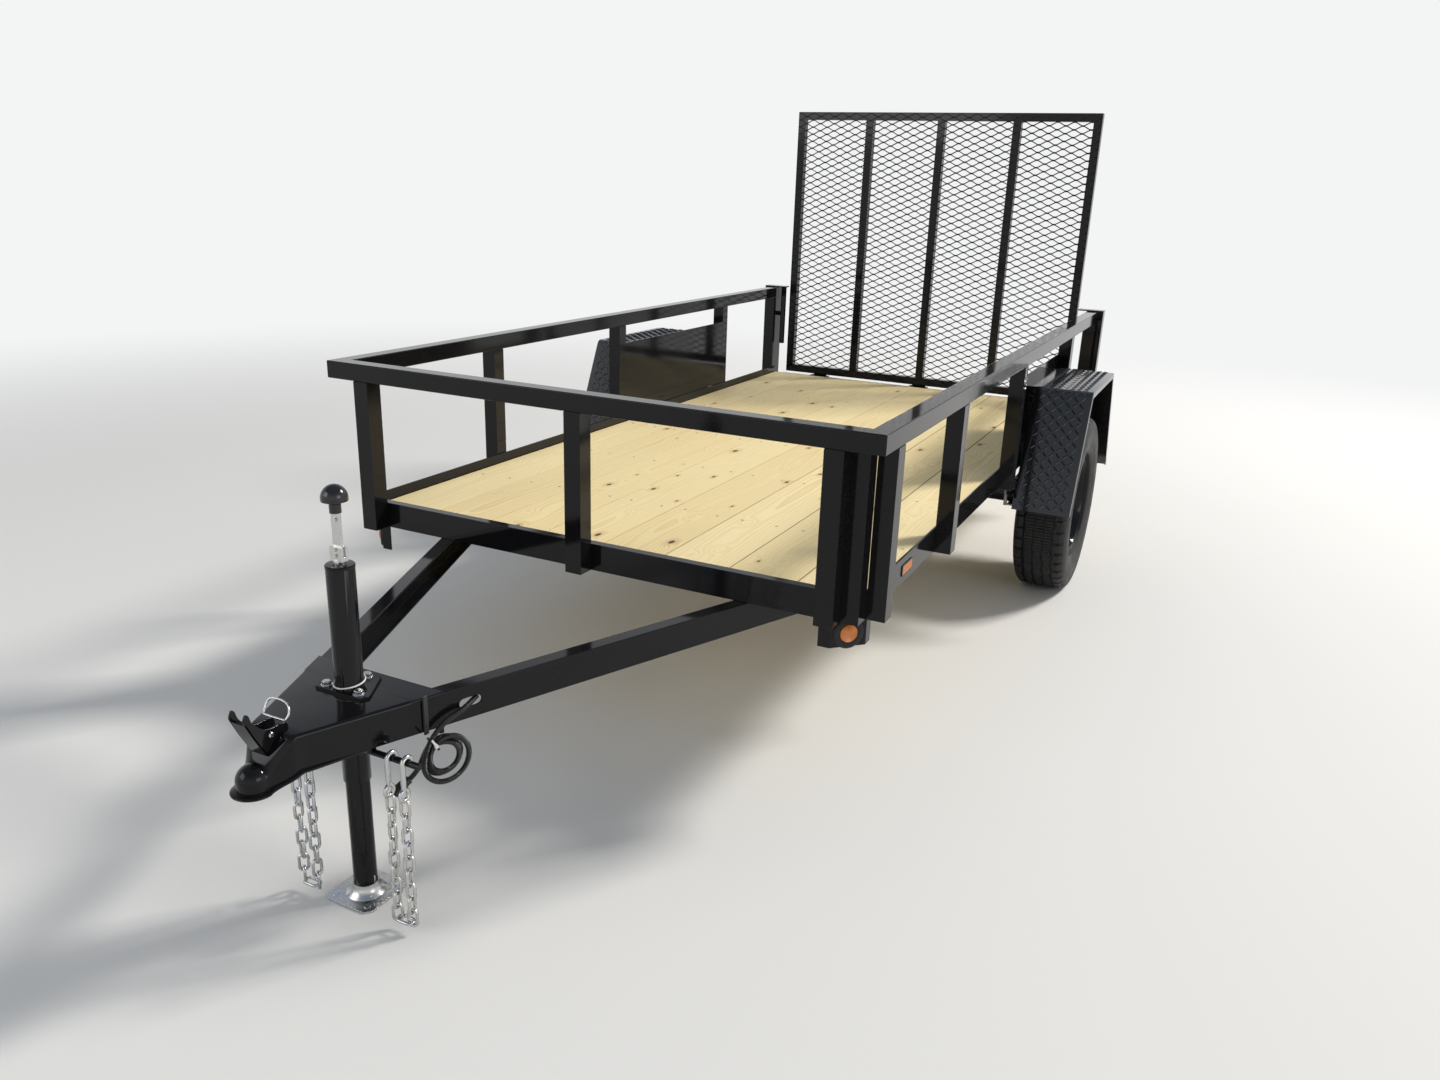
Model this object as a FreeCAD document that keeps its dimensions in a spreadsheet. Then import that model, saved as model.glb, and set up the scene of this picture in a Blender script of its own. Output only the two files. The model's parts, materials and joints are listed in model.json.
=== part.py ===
import FreeCAD, Part
import Sketcher
import math
import os

# Open utility trailer with a rail round the bed, a mesh ramp gate and a tube jack.
# X to the right, Y from the nose to the gate, Z up from the ground; millimetres.
# "behind" and "ahead" are measured from the front of the rail.

doc = FreeCAD.newDocument("utility_trailer")
sheet = doc.addObject("Spreadsheet::Sheet", "Dims")

SIZES = (
    ("rail_wide", 1702.0),
    ("rail_long", 3155.0),
    ("rail_height", 496.0),
    ("tube", 50.8),
    ("tube_wall", 3.2),
    ("end_recess", 25.0),
    ("frame_high", 76.2),
    ("leg_thick", 6.35),
    ("leg_wide", 50.8),
    ("front_flange", 28.0),
    ("post_inset", 99.0),
    ("post_a_behind", 105.0),
    ("post_b_behind", 712.0),
    ("post_before_axle", 509.0),
    ("post_after_axle", 447.0),
    ("board_thick", 38.1),
    ("board_count", 8.0),
    ("board_gap", 3.0),
    ("board_end_gap", 2.0),
    ("cross_first", 546.0),
    ("cross_last_inset", 629.0),
    ("cross_count", 5.0),
    ("cross_leg", 50.8),
    ("cross_flange", 38.0),
    ("rear_post_wide", 76.2),
    ("cap_thick", 6.0),
    ("cap_gap", 10.0),
    ("latch_bar_wide", 22.0),
    ("latch_bar_deep", 18.0),
    ("latch_bar_long", 296.0),
    ("axle_inset", 1110.0),
    ("axle_radius", 30.0),
    ("axle_gap", 4.0),
    ("ride_gap", 118.0),
    ("wheel_radius", 344.0),
    ("tyre_wide", 203.0),
    ("tyre_gap", 38.3),
    ("rim_radius", 190.5),
    ("rim_flange", 16.0),
    ("rim_between", 140.0),
    ("rim_drop", 18.0),
    ("rim_sheet", 4.0),
    ("disc_out", 28.0),
    ("disc_in", 8.0),
    ("disc_crown", 34.0),
    ("disc_seat", 18.0),
    ("hand_hole_radius", 15.0),
    ("hand_hole_count", 8.0),
    ("hub_bore", 42.0),
    ("hub_radius", 38.0),
    ("hub_flange", 66.0),
    ("hub_flange_thick", 10.0),
    ("hub_long", 85.0),
    ("hub_gap", 0.4),
    ("cap_radius", 32.0),
    ("cap_long", 42.0),
    ("spindle_radius", 17.0),
    ("spindle_gap", 0.05),
    ("spindle_end", 14.0),
    ("spring_wide", 44.0),
    ("spring_span", 660.0),
    ("leaf_thick", 8.0),
    ("eye_radius", 19.0),
    ("eye_drop", 40.0),
    ("eye_bolt", 8.0),
    ("hanger_thick", 6.0),
    ("bolt_thick", 12.0),
    ("fender_gap", 148.0),
    ("fender_low_rise", 70.0),
    ("fender_top_half", 273.0),
    ("fender_low_half", 465.0),
    ("fender_over", 15.5),
    ("fender_sheet", 3.2),
    ("fender_lip", 22.0),
    ("ledge_wide", 24.0),
    ("panel_over", 30.0),
    ("panel_sheet", 3.0),
    ("tongue_high", 76.2),
    ("tongue_flange", 38.0),
    ("tongue_wall", 5.0),
    ("tongue_gap", 33.0),
    ("tongue_nose_half", 69.7),
    ("tongue_end_inset", 44.3),
    ("coupler_sheet", 4.0),
    ("neck_long", 58.0),
    ("coupler_long", 283.0),
    ("coupler_skirt", 72.0),
    ("skirt_slant", 45.0),
    ("skirt_long", 218.0),
    ("ball_ahead", 1076.0),
    ("ball_drop", 78.0),
    ("ball_bore", 25.9),
    ("socket_wall", 7.0),
    ("socket_drop", 24.0),
    ("lip_radius", 44.0),
    ("lip_over", 8.0),
    ("lip_thick", 5.0),
    ("lever_wide", 40.0),
    ("lever_wall", 4.0),
    ("lever_long", 44.0),
    ("lever_high", 104.0),
    ("jack_behind", 198.0),
    ("jack_tube_radius", 29.0),
    ("jack_bore", 26.2),
    ("jack_drop", 206.0),
    ("jack_rise", 276.0),
    ("jack_cap", 10.0),
    ("jack_travel", 200.0),
    ("jack_end_gap", 12.0),
    ("jack_leg_radius", 25.4),
    ("jack_fit", 0.5),
    ("jack_plate_thick", 6.0),
    ("jack_ring_radius", 52.0),
    ("jack_ring_thick", 5.0),
    ("foot_side", 130.0),
    ("foot_thick", 5.0),
    ("foot_cut", 14.0),
    ("foot_cone_high", 26.0),
    ("foot_cone_low_radius", 44.0),
    ("foot_cone_top_radius", 29.0),
    ("clevis_high", 30.0),
    ("clevis_wide", 30.0),
    ("arm_wide", 22.0),
    ("arm_thick", 6.0),
    ("arm_rise", 99.0),
    ("knob_radius", 27.0),
    ("knob_high", 36.0),
    ("knob_neck_radius", 12.0),
    ("knob_neck_high", 22.0),
    ("gate_side_gap", 50.2),
    ("gate_high", 1328.0),
    ("gate_bar", 38.0),
    ("gate_bar_count", 5.0),
    ("gate_behind", 41.0),
    ("hinge_rise", 28.0),
    ("hinge_pin", 8.0),
    ("hinge_bore", 8.5),
    ("hinge_barrel", 14.0),
    ("hinge_lift", 20.0),
    ("hinge_inset", 150.0),
    ("hinge_side_gap", 1.5),
    ("lug_thick", 10.0),
    ("barrel_long", 70.0),
    ("mesh_wide", 76.2),
    ("mesh_tall", 33.8),
    ("mesh_strand", 4.6),
    ("mesh_layer", 1.6),
    ("mesh_margin", 2.0),
    ("bracket_drop", 74.0),
    ("bracket_thick", 4.0),
    ("bracket_leg", 32.0),
    ("bracket_face", 100.0),
    ("marker_radius", 33.0),
    ("marker_deep", 20.0),
    ("reflector_behind", 392.0),
    ("reflector_rise", 22.0),
    ("reflector_wide", 90.0),
    ("reflector_high", 32.0),
    ("reflector_thick", 4.0),
    ("tail_lamp_wide", 150.0),
    ("tail_lamp_high", 62.0),
    ("tail_lamp_deep", 40.0),
    ("tail_lamp_gap", 3.0),
    ("link_wire", 7.0),
    ("link_pitch", 32.5),
    ("link_wide", 26.0),
    ("link_count", 9.0),
    ("chain_right_x", 168.0),
    ("chain_left_x", -98.0),
    ("chain_before_jack", 48.0),
    ("chain_bar_radius", 7.0),
    ("chain_bar_left", 150.0),
    ("chain_bar_right", 222.0),
    ("chain_lug_inset", 16.0),
    ("chain_lug_wide", 10.0),
    ("hook_wire", 9.0),
    ("hook_gap", 1.0),
    ("hook_shank", 58.0),
    ("hook_eye", 16.0),
    ("loom_radius", 6.5),
    ("loom_hole_behind_jack", 143.0),
    ("loom_hole_half", 10.5),
    ("loom_hole_reach", 14.0),
    ("coil_radius", 53.0),
    ("coil_hollow", 28.0),
    ("coil_thick", 27.0),
    ("coil_tie", 10.0),
    ("coil_along", 70.0),
    ("coil_out", 8.0),
    ("coil_drop", 106.0),
    ("plug_wide", 26.0),
    ("plug_thick", 12.0),
    ("plug_long", 36.0),
)

for row, (alias, value) in enumerate(SIZES, 1):
    sheet.set("A%d" % row, alias)
    sheet.set("B%d" % row, str(value))
    sheet.setAlias("B%d" % row, alias)
doc.recompute()


# A length: its formula over the sheet's sizes, and the number that this comes to
class Size:
    def __init__(self, text, value):
        self.text = text
        self.value = float(value)

    def __float__(self):
        return self.value

    def __add__(self, other):
        return joined(self, "+", other, self.value + float(other))

    def __radd__(self, other):
        return joined(other, "+", self, float(other) + self.value)

    def __sub__(self, other):
        return joined(self, "-", other, self.value - float(other))

    def __rsub__(self, other):
        return joined(other, "-", self, float(other) - self.value)

    def __mul__(self, other):
        return joined(self, "*", other, self.value * float(other))

    def __rmul__(self, other):
        return joined(other, "*", self, float(other) * self.value)

    def __truediv__(self, other):
        return joined(self, "/", other, self.value / float(other))

    def __neg__(self):
        return Size("(-1 * %s)" % self.text, -self.value)


def formula(given):
    return given.text if isinstance(given, Size) else "(%r)" % float(given)


def joined(left, sign, right, value):
    return Size("(%s %s %s)" % (formula(left), sign, formula(right)), value)


class Sizes:
    def __getattr__(self, alias):
        return Size("Dims." + alias, getattr(sheet, alias))


D = Sizes()
HALF = D.rail_wide / 2
INNER = HALF - D.tube
FRONT = (D.ball_ahead + D.lip_radius - D.rail_long - D.gate_behind - D.gate_bar) / 2
REAR = FRONT + D.rail_long
AXLE = REAR - D.axle_inset
FRAME_LOW = D.wheel_radius + D.axle_radius + D.ride_gap
FRAME_TOP = FRAME_LOW + D.frame_high
RAIL_TOP = FRAME_LOW + D.rail_height
RAIL_LOW = RAIL_TOP - D.tube
DECK_LOW = FRAME_LOW + D.leg_thick
DECK_TOP = DECK_LOW + D.board_thick
GATE_HALF = INNER - D.gate_side_gap
GATE = REAR + D.gate_behind
WHEEL = INNER + D.tyre_gap + D.tyre_wide / 2
BALL = FRONT - D.ball_ahead
BALL_HIGH = FRAME_LOW - D.ball_drop
COUPLER_FRONT = BALL + D.neck_long
JACK = COUPLER_FRONT + D.jack_behind
RIGHT = FreeCAD.Vector(1, 0, 0)
BACK = FreeCAD.Vector(0, 1, 0)
UP = FreeCAD.Vector(0, 0, 1)


def point(x, y, z):
    return FreeCAD.Vector(float(x), float(y), float(z))


def bind(obj, prop, size):
    obj.setExpression(prop, formula(size))


def put(obj, x, y, z):
    bind(obj, "Placement.Base.x", x)
    bind(obj, "Placement.Base.y", y)
    bind(obj, "Placement.Base.z", z)


def block(name, sizes, corner):
    obj = doc.addObject("Part::Box", name)
    bind(obj, "Length", sizes[0])
    bind(obj, "Width", sizes[1])
    bind(obj, "Height", sizes[2])
    put(obj, *corner)
    return obj


TURNS = {
    "x": FreeCAD.Rotation(BACK, 90),
    "y": FreeCAD.Rotation(RIGHT, -90),
    "z": FreeCAD.Rotation(),
}


def rod(name, radius, length, base, axis="z"):
    obj = doc.addObject("Part::Cylinder", name)
    obj.Placement = FreeCAD.Placement(FreeCAD.Vector(), TURNS[axis])
    bind(obj, "Radius", radius)
    bind(obj, "Height", length)
    put(obj, *base)
    return obj


def weld(name, parts):
    obj = doc.addObject("Part::MultiFuse", name)
    obj.Shapes = parts
    obj.Refine = True
    return obj


def minus(name, base, tool):
    obj = doc.addObject("Part::Cut", name)
    obj.Base = base
    obj.Tool = tool
    return obj


def gather(name, parts):
    obj = doc.addObject("Part::Compound", name)
    obj.Links = parts
    return obj


def other_side(name, source):
    obj = doc.addObject("Part::Mirroring", name)
    obj.Source = source
    obj.Normal = RIGHT
    obj.Base = FreeCAD.Vector(0, 0, 0)
    return obj


def pair(name, source):
    return gather(name, [source, other_side(name + "_mirrored", source)])


def plain(name, shape, place=(0, 0, 0)):
    obj = doc.addObject("Part::Feature", name)
    obj.Shape = shape
    put(obj, *place)
    return obj


NODES = []


def node(obj, label):
    obj.Label = label
    NODES.append(obj)
    return obj


def origin_plane(body, role):
    for feature in body.Origin.OriginFeatures:
        if getattr(feature, "Role", "") == role:
            return feature
    return None


# A closed outline whose corners are held by the sheet's sizes
def outline_sketch(body, name, role, corners):
    sketch = body.newObject("Sketcher::SketchObject", name)
    sketch.AttachmentSupport = [(origin_plane(body, role), "")]
    sketch.MapMode = "FlatFace"
    count = len(corners)
    ring = []
    for i in range(count):
        turn = 2 * math.pi * i / count
        ring.append(FreeCAD.Vector(50 + 40 * math.cos(turn), 50 + 40 * math.sin(turn), 0))
    for i in range(count):
        sketch.addGeometry(Part.LineSegment(ring[i], ring[(i + 1) % count]), False)
    for i in range(count):
        sketch.addConstraint(Sketcher.Constraint("Coincident", i, 2, (i + 1) % count, 1))
    for i, corner in enumerate(corners):
        across = sketch.addConstraint(Sketcher.Constraint("DistanceX", -1, 1, i, 1, ring[i].x))
        sketch.setExpression("Constraints[%d]" % across, formula(corner[0]))
        upward = sketch.addConstraint(Sketcher.Constraint("DistanceY", -1, 1, i, 1, ring[i].y))
        sketch.setExpression("Constraints[%d]" % upward, formula(corner[1]))
    return sketch


def padded(name, role, corners, length, place):
    body = doc.addObject("PartDesign::Body", name)
    put(body, *place)
    sketch = outline_sketch(body, name + "_outline", role, corners)
    pad = body.newObject("PartDesign::Pad", name + "_pad")
    pad.Profile = sketch
    bind(pad, "Length", length)
    doc.recompute()
    return body


def sheet_face(points):
    return Part.Face(Part.makePolygon(points + [points[0]]))


# A solid between two outlines of as many corners, its sides folded into flats
def flat_loft(first, last):
    faces = [sheet_face(first), sheet_face(last)]
    for i in range(len(first)):
        j = (i + 1) % len(first)
        faces += [sheet_face([first[i], first[j], last[j]]), sheet_face([first[i], last[j], last[i]])]
    return sewn(faces)


def sewn(faces):
    shell = Part.Shell(faces)
    shell.sewShape()
    solid = Part.Solid(shell)
    if solid.Volume < 0:
        solid.reverse()
    return solid


# A ring or drum about X made of flats, one of which faces down: (along, radius to the flat) corners
def turned(corners, sides):
    grow = 1 / math.cos(math.pi / sides)
    rings = []
    for k in range(sides):
        turn = 2 * math.pi * (k + 0.5) / sides
        out = FreeCAD.Vector(0, math.sin(turn), -math.cos(turn)) * grow
        rings.append([RIGHT * float(along) + out * float(radius) for along, radius in corners])
    faces = []
    for k in range(sides):
        here, there = rings[k - 1], rings[k]
        for i in range(len(corners)):
            j = (i + 1) % len(corners)
            loop = []
            for corner in (here[i], here[j], there[j], there[i]):
                if all(corner.distanceToPoint(kept) > 1e-6 for kept in loop):
                    loop.append(corner)
            if len(loop) > 2:
                faces.append(sheet_face(loop))
    return sewn(faces)


def stood_up(shape):
    return shape.rotate(FreeCAD.Vector(), BACK, -90)


def mirrored(shape):
    return shape.mirror(FreeCAD.Vector(), RIGHT)


# Bed frame: the sides, the front and the rear member
SIDE_FRONT = FRONT + 2 * D.tube
side_up = block("side_up", (D.leg_thick, REAR - SIDE_FRONT, D.frame_high),
                (INNER - D.leg_thick, SIDE_FRONT, FRAME_LOW))
side_in = block("side_in", (D.leg_wide - D.leg_thick, REAR - SIDE_FRONT, D.leg_thick),
                (INNER - D.leg_wide, SIDE_FRONT, FRAME_LOW))
node(pair("side_members", weld("side_member", [side_up, side_in])), "frame_sides")

web_half = INNER - D.tube
web_front = FRONT + D.tube
lip_front = web_front + D.leg_thick
lip_deep = D.front_flange - D.leg_thick
front_parts = [block("front_web", (2 * web_half, D.leg_thick, D.frame_high), (-web_half, web_front, FRAME_LOW))]
for name, low in (("front_lip_top", FRAME_TOP - D.leg_thick), ("front_lip_low", FRAME_LOW)):
    front_parts.append(block(name, (2 * web_half, lip_deep, D.leg_thick), (-web_half, lip_front, low)))
node(weld("front_member", front_parts), "frame_front")

BED_HALF = INNER - D.leg_wide
HINGE_HIGH = FRAME_LOW + D.hinge_rise
HINGE = GATE + D.gate_bar / 2
HINGE_WIDE = D.barrel_long + 2 * D.lug_thick + 2 * D.hinge_side_gap
HINGE_STARTS = (D.hinge_inset - GATE_HALF, -HINGE_WIDE / 2, GATE_HALF - D.hinge_inset - HINGE_WIDE)
rear_parts = [
    block("rear_up", (2 * BED_HALF, D.leg_thick, DECK_TOP - FRAME_LOW), (-BED_HALF, REAR - D.leg_thick, FRAME_LOW)),
    block("rear_in", (2 * BED_HALF, D.leg_wide - D.leg_thick, D.leg_thick), (-BED_HALF, REAR - D.leg_wide, FRAME_LOW)),
]
for i, start in enumerate(HINGE_STARTS):
    for side, lug_x in (("left", start), ("right", start + HINGE_WIDE - D.lug_thick)):
        name = "lug_%s_%d" % (side, i)
        rear_parts.append(block(name + "_arm", (D.lug_thick, HINGE - REAR, 2 * D.hinge_barrel),
                                (lug_x, REAR, HINGE_HIGH - D.hinge_barrel)))
        rear_parts.append(rod(name + "_eye", D.hinge_barrel, D.lug_thick, (lug_x, HINGE, HINGE_HIGH), "x"))
    rear_parts.append(rod("hinge_pin_%d" % i, D.hinge_pin, HINGE_WIDE, (start, HINGE, HINGE_HIGH), "x"))
node(weld("rear_member", rear_parts), "frame_rear")

# Cross members under the boards, the first one as deep as the tongue that ends on it
CROSS_PITCH = (D.rail_long - D.cross_first - D.cross_last_inset) / (D.cross_count - 1)
cross = []
for i in range(int(D.cross_count.value)):
    high = D.tongue_high if i == 0 else D.cross_leg
    start = FRONT + D.cross_first + i * CROSS_PITCH
    drop = block("cross_web_%d" % i, (2 * BED_HALF, D.leg_thick, high), (-BED_HALF, start, DECK_LOW - high))
    top = block("cross_top_%d" % i, (2 * BED_HALF, D.cross_flange - D.leg_thick, D.leg_thick),
                (-BED_HALF, start + D.leg_thick, DECK_LOW - D.leg_thick))
    cross.append(weld("cross_%d" % i, [drop, top]))
node(gather("cross_all", cross), "crossmembers")

# Deck boards, from the front member to the rear member, notched round the corner posts
DECK_HALF = INNER - D.leg_thick
BOARD_WIDE = (2 * DECK_HALF - (D.board_count + 1) * D.board_gap) / D.board_count
board_front = web_front + D.leg_thick + D.board_end_gap
board_long = REAR - D.leg_thick - D.board_end_gap - board_front
notch = D.tube + D.board_gap
boards = []
for i in range(int(D.board_count.value)):
    start = D.board_gap - DECK_HALF + i * (BOARD_WIDE + D.board_gap)
    boards.append(block("board_%d" % i, (BOARD_WIDE, board_long, D.board_thick), (start, board_front, DECK_LOW)))
for i, edge in ((0, -INNER), (-1, INNER - notch)):
    name = boards[i].Name + "_notch"
    corner = block(name, (notch, notch, 2 * D.board_thick), (edge, web_front, FRAME_LOW))
    boards[i] = minus(name + "ed", boards[i], corner)
node(gather("boards_all", boards), "deck_boards")

# Rail round the bed, open at the gate
rail_parts = [block("rail_front", (D.rail_wide, D.tube, D.tube), (-HALF, FRONT, RAIL_LOW))]
for name, start in (("rail_left", -HALF), ("rail_right", INNER)):
    rail_parts.append(block(name, (D.tube, D.rail_long, D.tube), (start, FRONT, RAIL_LOW)))
node(weld("rail_all", rail_parts), "top_rail")


# An upright of square tube, open at its foot
def upright(name, x, y, wide=D.tube, top=RAIL_LOW):
    outer = block(name + "_outer", (wide, D.tube, top - FRAME_LOW), (x, y, FRAME_LOW))
    hollow = block(name + "_hollow", (wide - 2 * D.tube_wall, D.tube - 2 * D.tube_wall, D.end_recess),
                   (x + D.tube_wall, y + D.tube_wall, FRAME_LOW))
    return minus(name, outer, hollow)


POST_C = AXLE - D.post_before_axle
POST_D = AXLE + D.post_after_axle
node(gather("front_posts_all", [upright("front_post_left", D.post_inset - HALF, FRONT),
                                upright("front_post_middle", -D.tube / 2, FRONT),
                                upright("front_post_right", HALF - D.post_inset - D.tube, FRONT)]), "front_posts")
node(pair("corner_posts_all", upright("corner_post", INNER - D.tube, FRONT + D.tube)), "corner_posts")
sides = []
for name, start in (("a", FRONT + D.post_a_behind), ("b", FRONT + D.post_b_behind), ("c", POST_C), ("d", POST_D),
                    ("rear", REAR - D.tube)):
    sides.append(upright("side_post_" + name, INNER, start))
node(pair("side_posts_all", gather("side_posts_right", sides)), "side_posts")

CAP_INNER = GATE_HALF + D.cap_gap
rear_tube = upright("rear_post_tube", INNER, REAR, D.rear_post_wide, RAIL_TOP)
rear_cap = block("rear_cap", (INNER + D.rear_post_wide - CAP_INNER, D.tube, D.cap_thick), (CAP_INNER, REAR, RAIL_TOP))
node(pair("rear_posts_all", weld("rear_post", [rear_tube, rear_cap])), "rear_posts")
LATCH_X = -CAP_INNER - D.latch_bar_wide
latch_bar = block("latch_bar", (D.latch_bar_wide, D.latch_bar_deep, D.latch_bar_long),
                  (LATCH_X, REAR, RAIL_TOP - D.latch_bar_long))
latch_tie = block("latch_tie", (LATCH_X + INNER, D.latch_bar_deep, D.latch_bar_wide),
                  (-INNER, REAR, RAIL_TOP - D.latch_bar_long / 2))
node(weld("latch_bar_all", [latch_bar, latch_tie]), "gate_latch_bar")

# Fenders: bent sheet with a turned-down outer lip, held by a ledge and two ties on the bed's side
FENDER_TOP = 2 * D.wheel_radius + D.fender_gap
FENDER_LOW = D.wheel_radius + D.fender_low_rise
FENDER_OUT = WHEEL + D.tyre_wide / 2 + D.fender_over


def bent_outline(thick):
    outer = [(-D.fender_low_half, FENDER_LOW), (-D.fender_top_half, FENDER_TOP),
             (D.fender_top_half, FENDER_TOP), (D.fender_low_half, FENDER_LOW)]
    lower, knee = 1.1 * thick, 0.65 * thick
    inner = [(D.fender_low_half - lower, FENDER_LOW), (D.fender_top_half - knee, FENDER_TOP - thick),
             (knee - D.fender_top_half, FENDER_TOP - thick), (lower - D.fender_low_half, FENDER_LOW)]
    return outer + inner


fender_sheet = padded("fender_sheet_right", "YZ_Plane", bent_outline(D.fender_sheet), FENDER_OUT - HALF,
                      (HALF, AXLE, 0))
fender_lip = padded("fender_lip_right", "YZ_Plane", bent_outline(D.fender_lip), D.fender_sheet,
                    (FENDER_OUT - D.fender_sheet, AXLE, 0))
fender = weld("fender_right_all", [fender_sheet, fender_lip])
node(fender, "fender_right")
node(other_side("fender_left_all", fender), "fender_left")
panel_front = POST_C + D.tube
panel = block("panel", (D.panel_sheet, POST_D - panel_front, FENDER_TOP + D.panel_over - FRAME_TOP),
              (INNER, panel_front, FRAME_TOP))
node(pair("panels_all", panel), "fender_panels")
ledge_start = INNER + D.panel_sheet
ledge = block("ledge", (HALF + D.ledge_wide - ledge_start, 2 * (D.fender_top_half - D.ledge_wide), D.leg_thick),
              (ledge_start, AXLE - D.fender_top_half + D.ledge_wide, FENDER_TOP - D.fender_sheet - D.leg_thick))
FENDER_SLOPE = (D.fender_low_half - D.fender_top_half) / (FENDER_TOP - FENDER_LOW)
tie_reach = D.fender_low_half - FENDER_SLOPE * (FRAME_LOW - FENDER_LOW) - D.fender_sheet
held = [ledge]
for name, start in (("tie_front", AXLE - tie_reach), ("tie_rear", AXLE + tie_reach - D.ledge_wide)):
    bar = block(name + "_bar", (HALF + D.ledge_wide - INNER, D.ledge_wide, D.leg_thick), (INNER, start, FRAME_LOW))
    held.append(minus(name, bar, fender_sheet))
node(pair("ledges_all", gather("ledges_right", held)), "fender_ledges")

# Tongue: two channels that run from the coupler to the first cross member
TONGUE_FRONT = COUPLER_FRONT + D.tongue_gap
TONGUE_BACK = FRONT + D.cross_first
TONGUE_LOW = FRAME_LOW - D.tongue_high
SPREAD = (BED_HALF - D.tongue_end_inset - D.tongue_nose_half) / (TONGUE_BACK - TONGUE_FRONT)
LEAN = math.hypot(1, SPREAD.value)
WEB_ALONG = FreeCAD.Vector(-SPREAD.value / LEAN, -1 / LEAN, 0)
WEB_OUT = FreeCAD.Vector(1 / LEAN, -SPREAD.value / LEAN, 0)


def web_x(y):
    return D.tongue_nose_half + SPREAD * (y - TONGUE_FRONT)


def tongue_strip(name, near, far, low, high):
    corners = []
    for y, inset in ((TONGUE_FRONT, near), (TONGUE_BACK, near), (TONGUE_BACK, far), (TONGUE_FRONT, far)):
        corners.append((web_x(y) - LEAN * inset, y))
    return padded(name, "XY_Plane", corners, high - low, (0, 0, low))


LOOM_Y = JACK + D.loom_hole_behind_jack
LOOM_Z = (FRAME_LOW + TONGUE_LOW) / 2
hole_x = web_x(LOOM_Y) - D.tongue_flange / 2
hole_low, hole_ahead = LOOM_Z - D.loom_hole_half, LOOM_Y - D.loom_hole_reach
hole_parts = [block("loom_hole_middle", (D.tongue_flange, 2 * D.loom_hole_reach, 2 * D.loom_hole_half),
                    (hole_x, hole_ahead, hole_low))]
for name, y in (("loom_hole_front", hole_ahead), ("loom_hole_back", LOOM_Y + D.loom_hole_reach)):
    hole_parts.append(rod(name, D.loom_hole_half, D.tongue_flange, (hole_x, y, LOOM_Z), "x"))
channel = weld("tongue_channel", [
    tongue_strip("tongue_web", 0, D.tongue_wall, TONGUE_LOW, FRAME_LOW),
    tongue_strip("tongue_top", D.tongue_wall, D.tongue_flange, FRAME_LOW - D.tongue_wall, FRAME_LOW),
    tongue_strip("tongue_low", D.tongue_wall, D.tongue_flange, TONGUE_LOW, TONGUE_LOW + D.tongue_wall),
])
tongue_right = minus("tongue_right", channel, weld("loom_hole", hole_parts))
node(gather("tongue_all", [tongue_right, other_side("tongue_left", channel)]), "tongue_channels")


SOCKET = D.ball_bore + D.socket_wall
DOME = SOCKET * 0.8


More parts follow.
